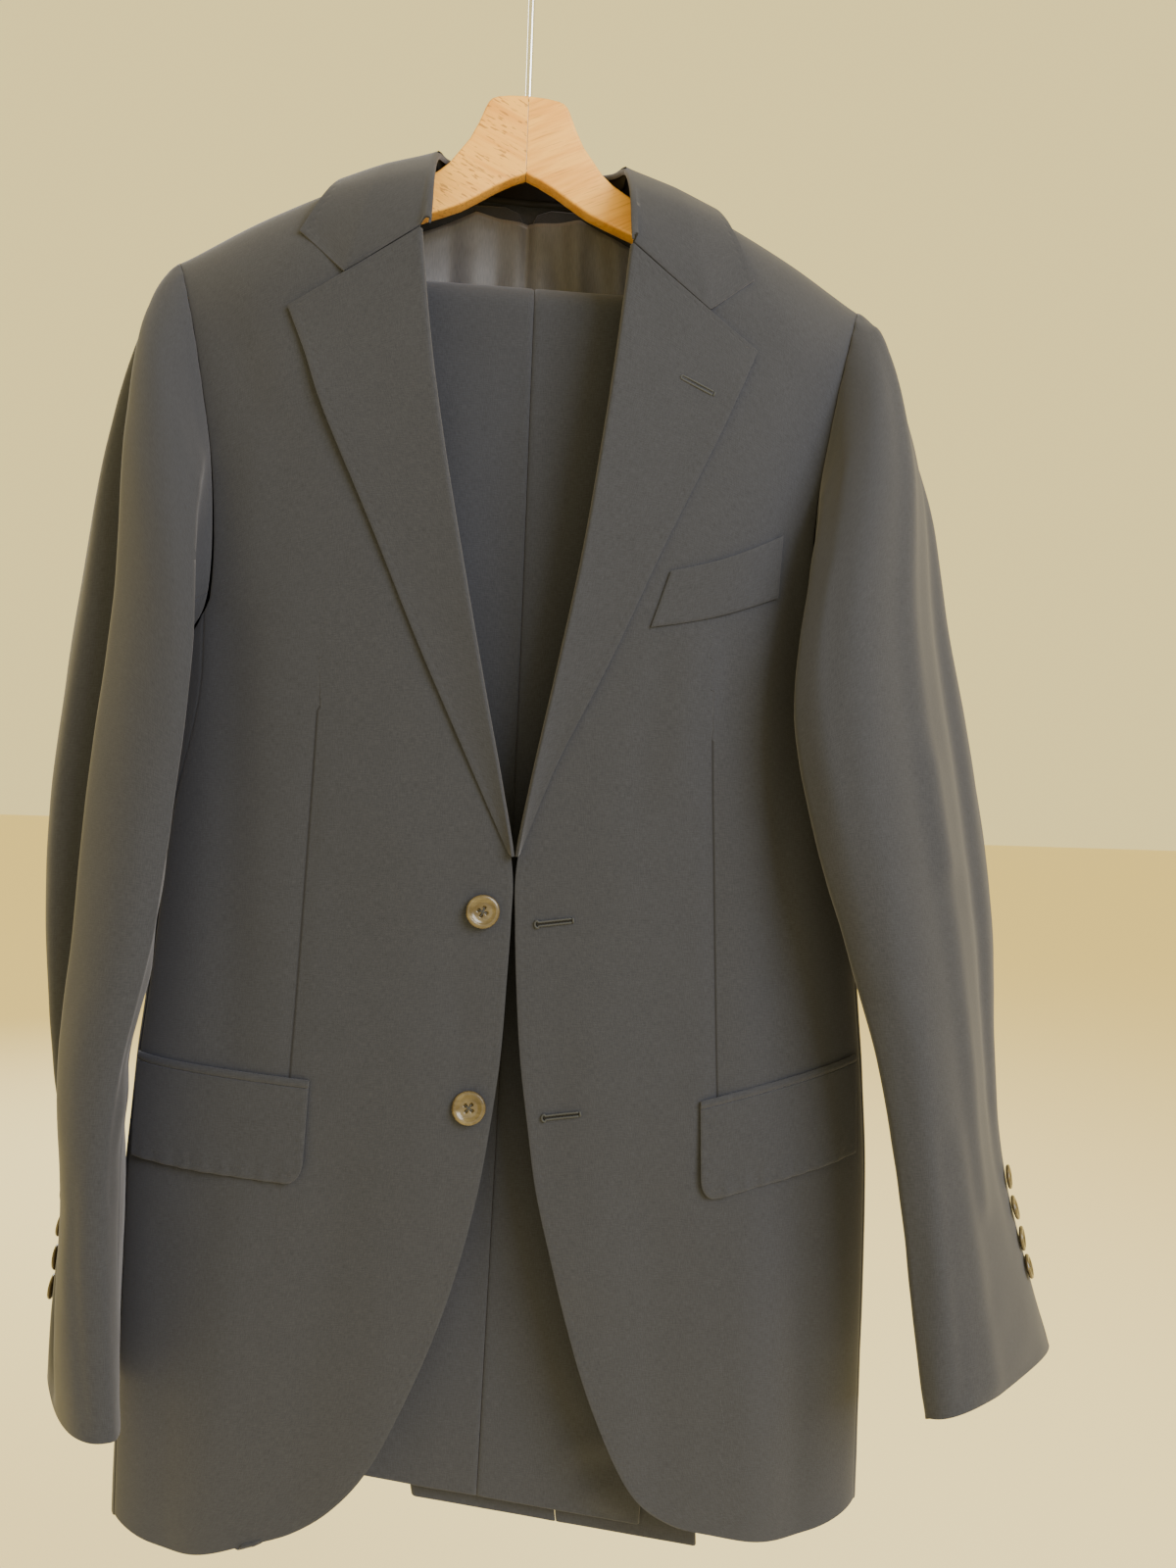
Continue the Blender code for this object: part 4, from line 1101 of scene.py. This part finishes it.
def makeLeg(name, spec):
    rows, out = spec["rows"], spec["out"]
    last = legLook["length"] - legLook["band"]
    drop = legLook["frontDrop"] + math.pi * (legLook["near"]["out"] - out)
    bend = [drop + math.pi * (legLook["bar"] + out) * share for share in even(22)]
    runs = [0, 1, 2.4, 4.5] + even(150, 8, last - 4) + [last - 2, last]
    runs = sorted([run for run in runs if not bend[0] - 4 < run < bend[-1] + 4] + bend)
    flatTurns = [0, 0.003, 0.008, 0.016] + even(22, 0.03, 0.238)
    turns = flatTurns + even(14, 0.25, 0.75) + [1 - value for value in reversed(flatTurns)]
    for half, way in (("front", -1), ("back", 1)):
        def place(turn, run):
            left, right = readCurve(rows, 1, run), readCurve(rows, 2, run)
            centre, outWay = legPath(run, out, drop)
            reach, high = legSection(turn, (right - left) / 2)
            point = centre + outWay * high
            point.x = (left + right) / 2 + way * reach
            point.z -= 0.2 * way * reach * max(1 - run / 200, 0)
            near = reach if turn < 0.25 or turn > 0.75 else 99
            lift = tucked(near, 2, 0.9)
            if turn < 0.5:
                calm = clamp((near if turn < 0.25 else 60) / 10) * (1 if run < drop - 20 else 0.3)
                if name == "near":
                    lift += calm * creased(legLook["creases"], point.x, point.z)
                lift += 0.5 * calm * bumpy(point.x, point.z, 46, 81 + out)
                if name == "near" and run < drop:
                    lift = min(lift, 3.0)
            return point + outWay * lift * (1 if turn < 0.5 else -1)

        clothPiece("trouser_%s_%s" % (name, half), legPanel, turns, runs, place, None)

    def band(turn, run):
        turn = turn if turn < 0.9999 else 0
        left, right = readCurve(rows, 1, run), readCurve(rows, 2, run)
        centre, outWay = legPath(run, out, drop)
        way = 1 if turn < 0.5 else -1
        reach, high = legSection(turn * 2 % 1, (right - left) / 2)
        centre.x = (left + right) / 2 + way * reach
        return centre + outWay * high * way

    bandRuns = [last + seam] + even(12, last + 2, last + 38) + [last + 40]
    clothPiece("waistband_" + name, bandPanel, even(96), bandRuns, band, None,
               close=True)


for name in ("near", "far"):
    makeLeg(name, legLook[name])
print("trousers ready")

# hanger
hangerLook = {
    "x": -3.5, "wood": 12.0, "chamfer": 1.8, "wire": 2.0, "hookInner": 19.0,
    "top": ((0.2, -98.3), (12, -98.9), (19, -100.1), (22.4, -101.4), (24.6, -103.6),
            (26.2, -106.6), (30.4, -117), (35.6, -127.5), (42, -136), (48, -144), (55, -150),
            (66, -156.5), (88, -166.5), (110, -177), (135, -187.6), (160, -198), (180, -206.6),
            (196, -213.6)),
    "end": ((200, -216.5), (203, -220), (204.6, -226), (205, -232), (204.2, -238), (202, -243),
            (199, -245.6), (195, -246.5)),
    "under": ((178.3, -246.5), (178.3, -229), (160, -221), (135, -210), (110, -199),
              (88, -189.3), (66, -180), (52, -174.5), (40, -169.5), (30, -163.5), (18, -155.8),
              (8, -150.5), (0.2, -147.2)),
}


def makeArm(hand, material):
    side = sides[hand]
    outline = hangerLook["top"] + hangerLook["end"] + hangerLook["under"]
    bm = bmesh.new()
    half = hangerLook["wood"] / 2
    corners = [bm.verts.new(toRow(Vector((hangerLook["x"] + side * x, half, z)))) for x, z in outline]
    face = bm.faces.new(corners)
    grown = bmesh.ops.extrude_face_region(bm, geom=[face])
    moved = [part for part in grown["geom"] if isinstance(part, bmesh.types.BMVert)]
    bmesh.ops.translate(bm, verts=moved, vec=Vector((0, -2 * half * mm, 0)))
    bmesh.ops.recalc_face_normals(bm, faces=bm.faces)

    def rounded(edge):
        # an edge round the front or the back face, but not along the mitre
        first, second = [vert.co for vert in edge.verts]
        clear = min(abs(point.x / mm - hangerLook["x"]) for point in (first, second))
        level = abs(first.y - second.y) < 0.0001
        return level and (clear > 0.3 or abs(first.x - second.x) > 0.0004)

    rims = [edge for edge in bm.edges if rounded(edge)]
    bmesh.ops.bevel(bm, geom=rims, offset=hangerLook["chamfer"] * mm, segments=3, profile=0.6,
                    affect="EDGES", material=-1, clamp_overlap=True)
    bmesh.ops.triangulate(bm, faces=[face for face in bm.faces if len(face.verts) > 4])
    piece = finishPiece("hanger_arm_" + hand, bm, material, ["hanger_arm_" + hand])
    piece.data.set_sharp_from_angle(angle=math.radians(38))


makeArm("left", beechLeft)
makeArm("right", beechRight)


def tube(name, path, radius, facets, material, nodes=(), ripple=0.0, turns=0.0):
    # a round strand along a path in mm, its ends drawn in
    count = len(path)

    def place(around, along):
        number = min(int(round(along * (count - 1))), count - 1)
        here = path[number]
        way = (path[min(number + 1, count - 1)] - path[max(number - 1, 0)]).normalized()
        first = way.cross(Vector((0, 1, 0.01))).normalized()
        second = way.cross(first)
        size = radius * (1 + ripple * math.sin(turns * number + around * 2 * math.pi))
        if number in (0, count - 1):
            size *= 0.02
        angle = around * 2 * math.pi
        return here + (first * math.cos(angle) + second * math.sin(angle)) * size

    gridPiece(name, even(facets), even(count - 1), place, material, nodes, close=True)


def smoothPath(points, step):
    # evenly placed points on a smooth curve through the given ones
    made = []
    for number in range(len(points) - 1):
        before, start = points[max(number - 1, 0)], points[number]
        end, after = points[number + 1], points[min(number + 2, len(points) - 1)]
        count = max(int((end - start).length / step), 1)
        made += [hermite(start, end, (end - before) * 0.5, (after - start) * 0.5, n / count)
                 for n in range(count)]
    return made + [points[-1]]


hookCentre = hookRise - hangerLook["hookInner"]
hookRadius = hangerLook["hookInner"] + hangerLook["wire"]
hookFoot = ((-3.5, -99.0), (-3.5, -80), (-3.5, -60), (-3.5, -40), (-3.2, -28), (-0.6, -19),
            (5, -12.6))
hookPoints = [Vector((x, 0, z)) for x, z in hookFoot]
for n in range(27):
    angle = math.radians(-62 + n * 10)
    hookPoints.append(Vector((hookRadius * math.cos(angle), 0,
                              hookCentre + hookRadius * math.sin(angle))))
tube("hook_wire", smoothPath(hookPoints, 1.6), hangerLook["wire"], 20, chrome, ["hook"])

barRows = ((-178, 0.0), (-177.9, 4.6), (-177.4, 5.5), (177.4, 5.5), (177.9, 4.6), (178, 0.0))


def barPlace(around, along):
    x, radius = barRows[int(along * 5 + 0.5)]
    angle = around * 2 * math.pi
    return (Vector((hangerLook["x"] + x, 0, -237.0))
            + Vector((0, math.cos(angle), math.sin(angle))) * radius)


gridPiece("hanger_bar", even(40), even(5), barPlace, beechRight, ["hanger_bar"],
          close=True)
print("hanger ready")

# buttons: turned horn with a raised rim, a dished face and four holes
buttonLook = {"hole": 0.95, "holeAt": 1.75, "threadRadius": 0.38}
cuffLook = {"turn": -36, "high": 88.0, "apart": 17.0, "section": 62}  # section: a step's length


def buttonProfile(radius, thick, share):
    # height of the face from its middle out to the rim, then round under it
    points = ((0, 0.60), (0.35, 0.60), (0.55, 0.66), (0.68, 0.82), (0.76, 0.97), (0.84, 1.0),
              (0.92, 0.95), (0.98, 0.78), (1.0, 0.58), (0.97, 0.38), (0.88, 0.2), (0.6, 0.06),
              (0.3, 0.0), (0.0, 0.0))
    at = share * (len(points) - 1)
    number = min(int(at), len(points) - 2)
    (r1, h1), (r2, h2) = points[number], points[number + 1]
    part = at - number
    return radius * (r1 + (r2 - r1) * part), thick * (h1 + (h2 - h1) * part)


def makeButton(name, diameter, thick, point, facing, spin):
    radius = diameter / 2
    turn = facing.to_track_quat("Z", "Y").to_matrix() @ Matrix.Rotation(math.radians(spin), 3, "Z")
    size = diameter / 20
    holeAt = buttonLook["holeAt"] * size
    holes = [Vector((holeAt * x, holeAt * y)) for x in (-1, 1) for y in (-1, 1)]

    def place(around, share):
        angle = around * 2 * math.pi
        # the first half of the rings lies on the face, the first 8 of the profile's 13 stretches
        along = share * 2 * 8 if share < 0.5 else 8 + (share - 0.5) * 2 * 5
        out, high = buttonProfile(radius, thick, along / 13)
        x, y = out * math.cos(angle), out * math.sin(angle)
        if share < 0.5:
            for hole in holes:
                away = math.hypot(x - hole.x, y - hole.y) / (buttonLook["hole"] * size)
                high -= thick * 0.42 * clamp((1.12 - away) / 0.3)
        return point + turn @ Vector((x, y, high))

    gridPiece(name, even(64), even(44, 0, 0.485) + even(12, 0.5, 1), place, horn, [name],
              close=True)
    bottom = thick * 0.60
    for number, (first, second) in enumerate(((holes[0], holes[3]), (holes[1], holes[2]))):
        strand = []
        for n in range(15):
            part = n / 14
            flat = first.lerp(second, part)
            rise = bottom + (0.35 + 0.25 * number) * arch(part) - 0.9 * (1 - arch(part)) ** 6
            strand.append(point + turn @ Vector((flat.x, flat.y, rise)))
        tube(name + "_thread_%d" % (number + 1), strand, buttonLook["threadRadius"] * size, 8,
             threadMaterial, ripple=0.12, turns=1.9)


for number, (x, z) in enumerate(((-15, -605), (-19, -720)), 1):
    facing = Vector(((0.10, -1, 0.06), (-0.06, -1, 0.10))[number - 1]).normalized()
    makeButton("front_button_%d" % number, 20.0, 3.2, panelPoint(2, x, z, 1.0), facing,
               (24, 8)[number - 1])
for hand in ("left", "right"):
    for number in range(4):
        step = 9 - (cuffLook["high"] + (number - 1.5) * cuffLook["apart"]) / cuffLook["section"]
        here = sleevePoint(hand, cuffLook["turn"], step)
        away = sleeveOutward(hand, cuffLook["turn"], step)
        lean = (0.05, -0.06, 0.08, -0.03)[number]
        facing = (away + Vector((0, 0.2 * lean, lean))).normalized()
        makeButton("cuff_button_%s_%d" % (hand, number + 1), 15.0, 2.8, here + away * 0.7, facing,
                   17 * number)
print("buttons ready")

# buttonholes: a purl stitch round a slit
holeLook = {"bead": 0.62, "gap": 1.15, "eyeAt": 2.2, "eyeSize": 2.3}


def makeButtonhole(name, start, end, lift, eyelet, surface):
    # start is the end near the edge, where a keyhole has its eyelet
    first, second = Vector(start), Vector(end)
    way = (second - first).normalized()
    aside = Vector((-way.y, way.x))
    long = (second - first).length
    flat = []
    gap = holeLook["gap"]
    eyeAt, eyeSize = (holeLook["eyeAt"], holeLook["eyeSize"]) if eyelet else (0, gap)
    for part in even(60):
        if part <= 0.4:
            flat.append((long * (1 - part / 0.4) + eyeAt * part / 0.4, gap))
        elif part < 0.6:
            angle = math.pi * (0.5 + (part - 0.4) / 0.2)
            flat.append((eyeAt + eyeSize * math.cos(angle), eyeSize * math.sin(angle)))
        else:
            flat.append((eyeAt + (long - eyeAt) * (part - 0.6) / 0.4, -gap))
    path = []
    for along, side in flat:
        spot = first + way * along + aside * side
        path.append(surface(spot.x, spot.y, lift))
    tube(name + "_purl", path, holeLook["bead"], 8, threadMaterial, ripple=0.22,
         turns=2.6)
    bar = [surface(*(first + way * (long + 0.5) + aside * side), lift + 0.1)
           for side in (-1.9, -1, 0, 1, 1.9)]
    tube(name + "_tack", bar, 0.7, 8, threadMaterial)

    # a near-black sheet just under each slit: painted shade for the dark inside of the cut
    def slit(across, along):
        inner = 0.75 + (1.2 * bell((along * long - 2.0) / 1.5) if eyelet else 0)
        spot = first + way * (0.6 + (long - 1.0) * along) + aside * (across - 0.5) * 2 * inner
        return surface(spot.x, spot.y, lift - 0.25)

    gridPiece(name + "_slit", even(3), even(20), slit, paintedSlitShade, outward=faceOut,
              wall=0.2)


def onFront(x, z, lift):
    return panelPoint(2, x, z, lift + frontSwell(rightFront, x, z))


def onLapel(x, z, lift):
    return panelPoint(2, x, z, lift + 2.0)


makeButtonhole("buttonhole_1", (16, -612), (38, -609), 0.85, True, onFront)
makeButtonhole("buttonhole_2", (24, -726), (46, -723), 0.85, True, onFront)
makeButtonhole("lapel_buttonhole", (92, -285), (111, -293), 0.8, False, onLapel)
print("buttonholes ready")

# floor, light and camera
stageLook = {"floorZ": -1.42, "colour": (0.95, 0.83, 0.50), "world": (1.0, 0.80, 0.32),
             "worldStrength": 1.3}
bm = bmesh.new()
bmesh.ops.create_grid(bm, x_segments=1, y_segments=1, size=20)
bmesh.ops.translate(bm, verts=bm.verts, vec=Vector((0, 0, stageLook["floorZ"])))
floorMesh = bpy.data.meshes.new("floor")
bm.to_mesh(floorMesh)
bm.free()
floorMesh.materials.append(plainMaterial("pale floor", stageLook["colour"], 0.9))
floor = bpy.data.objects.new("floor", floorMesh)
bpy.context.scene.collection.objects.link(floor)

world = bpy.data.worlds.new("studio")
bpy.context.scene.world = world
world.use_nodes = True
sky = world.node_tree.nodes["Background"]
sky.inputs["Color"].default_value = (*stageLook["world"], 1)
sky.inputs["Strength"].default_value = stageLook["worldStrength"]


def areaLight(name, place, aim, size, power, colour):
    data = bpy.data.lights.new(name, "AREA")
    data.size = size
    data.energy = power
    data.color = colour
    light = bpy.data.objects.new(name, data)
    light.location = place
    light.rotation_mode = "QUATERNION"
    light.rotation_quaternion = (Vector(aim) - Vector(place)).to_track_quat("-Z", "Y")
    bpy.context.scene.collection.objects.link(light)


lights = (
    ("key", (1.6, -1.9, 0.6), (0.05, 0, -0.45), 1.7, 92, (0.93, 0.96, 1.0)),
    ("fill", (-0.3, -2.8, -0.6), (0, 0, -0.55), 1.8, 8, (0.85, 0.92, 1.0)),
    ("back", (-1.0, 2.4, 0.9), (0, 0, -0.4), 1.8, 75, (0.90, 0.95, 1.0)),
)
for light in lights:
    areaLight(*light)

cameraLook = {"place": (-0.0205, -0.744, -0.558), "yaw": 5.36, "roll": 2.0, "lens": 27.0}
yaw, roll = math.radians(cameraLook["yaw"]), math.radians(cameraLook["roll"])
ahead = Vector((math.sin(yaw), math.cos(yaw), 0))
level = ahead.cross(Vector((0, 0, 1)))
upright = level.cross(ahead)
upward = upright * math.cos(roll) - level * math.sin(roll)
rightward = level * math.cos(roll) + upright * math.sin(roll)
cameraData = bpy.data.cameras.new("camera")
cameraData.lens = cameraLook["lens"]
cameraData.sensor_width = 36
cameraData.dof.use_dof = False
camera = bpy.data.objects.new("camera", cameraData)
turned = Matrix((rightward, upward, -ahead)).transposed().to_4x4()
camera.matrix_world = Matrix.Translation(Vector(cameraLook["place"])) @ turned
bpy.context.scene.collection.objects.link(camera)
bpy.context.scene.camera = camera
print("stage ready")
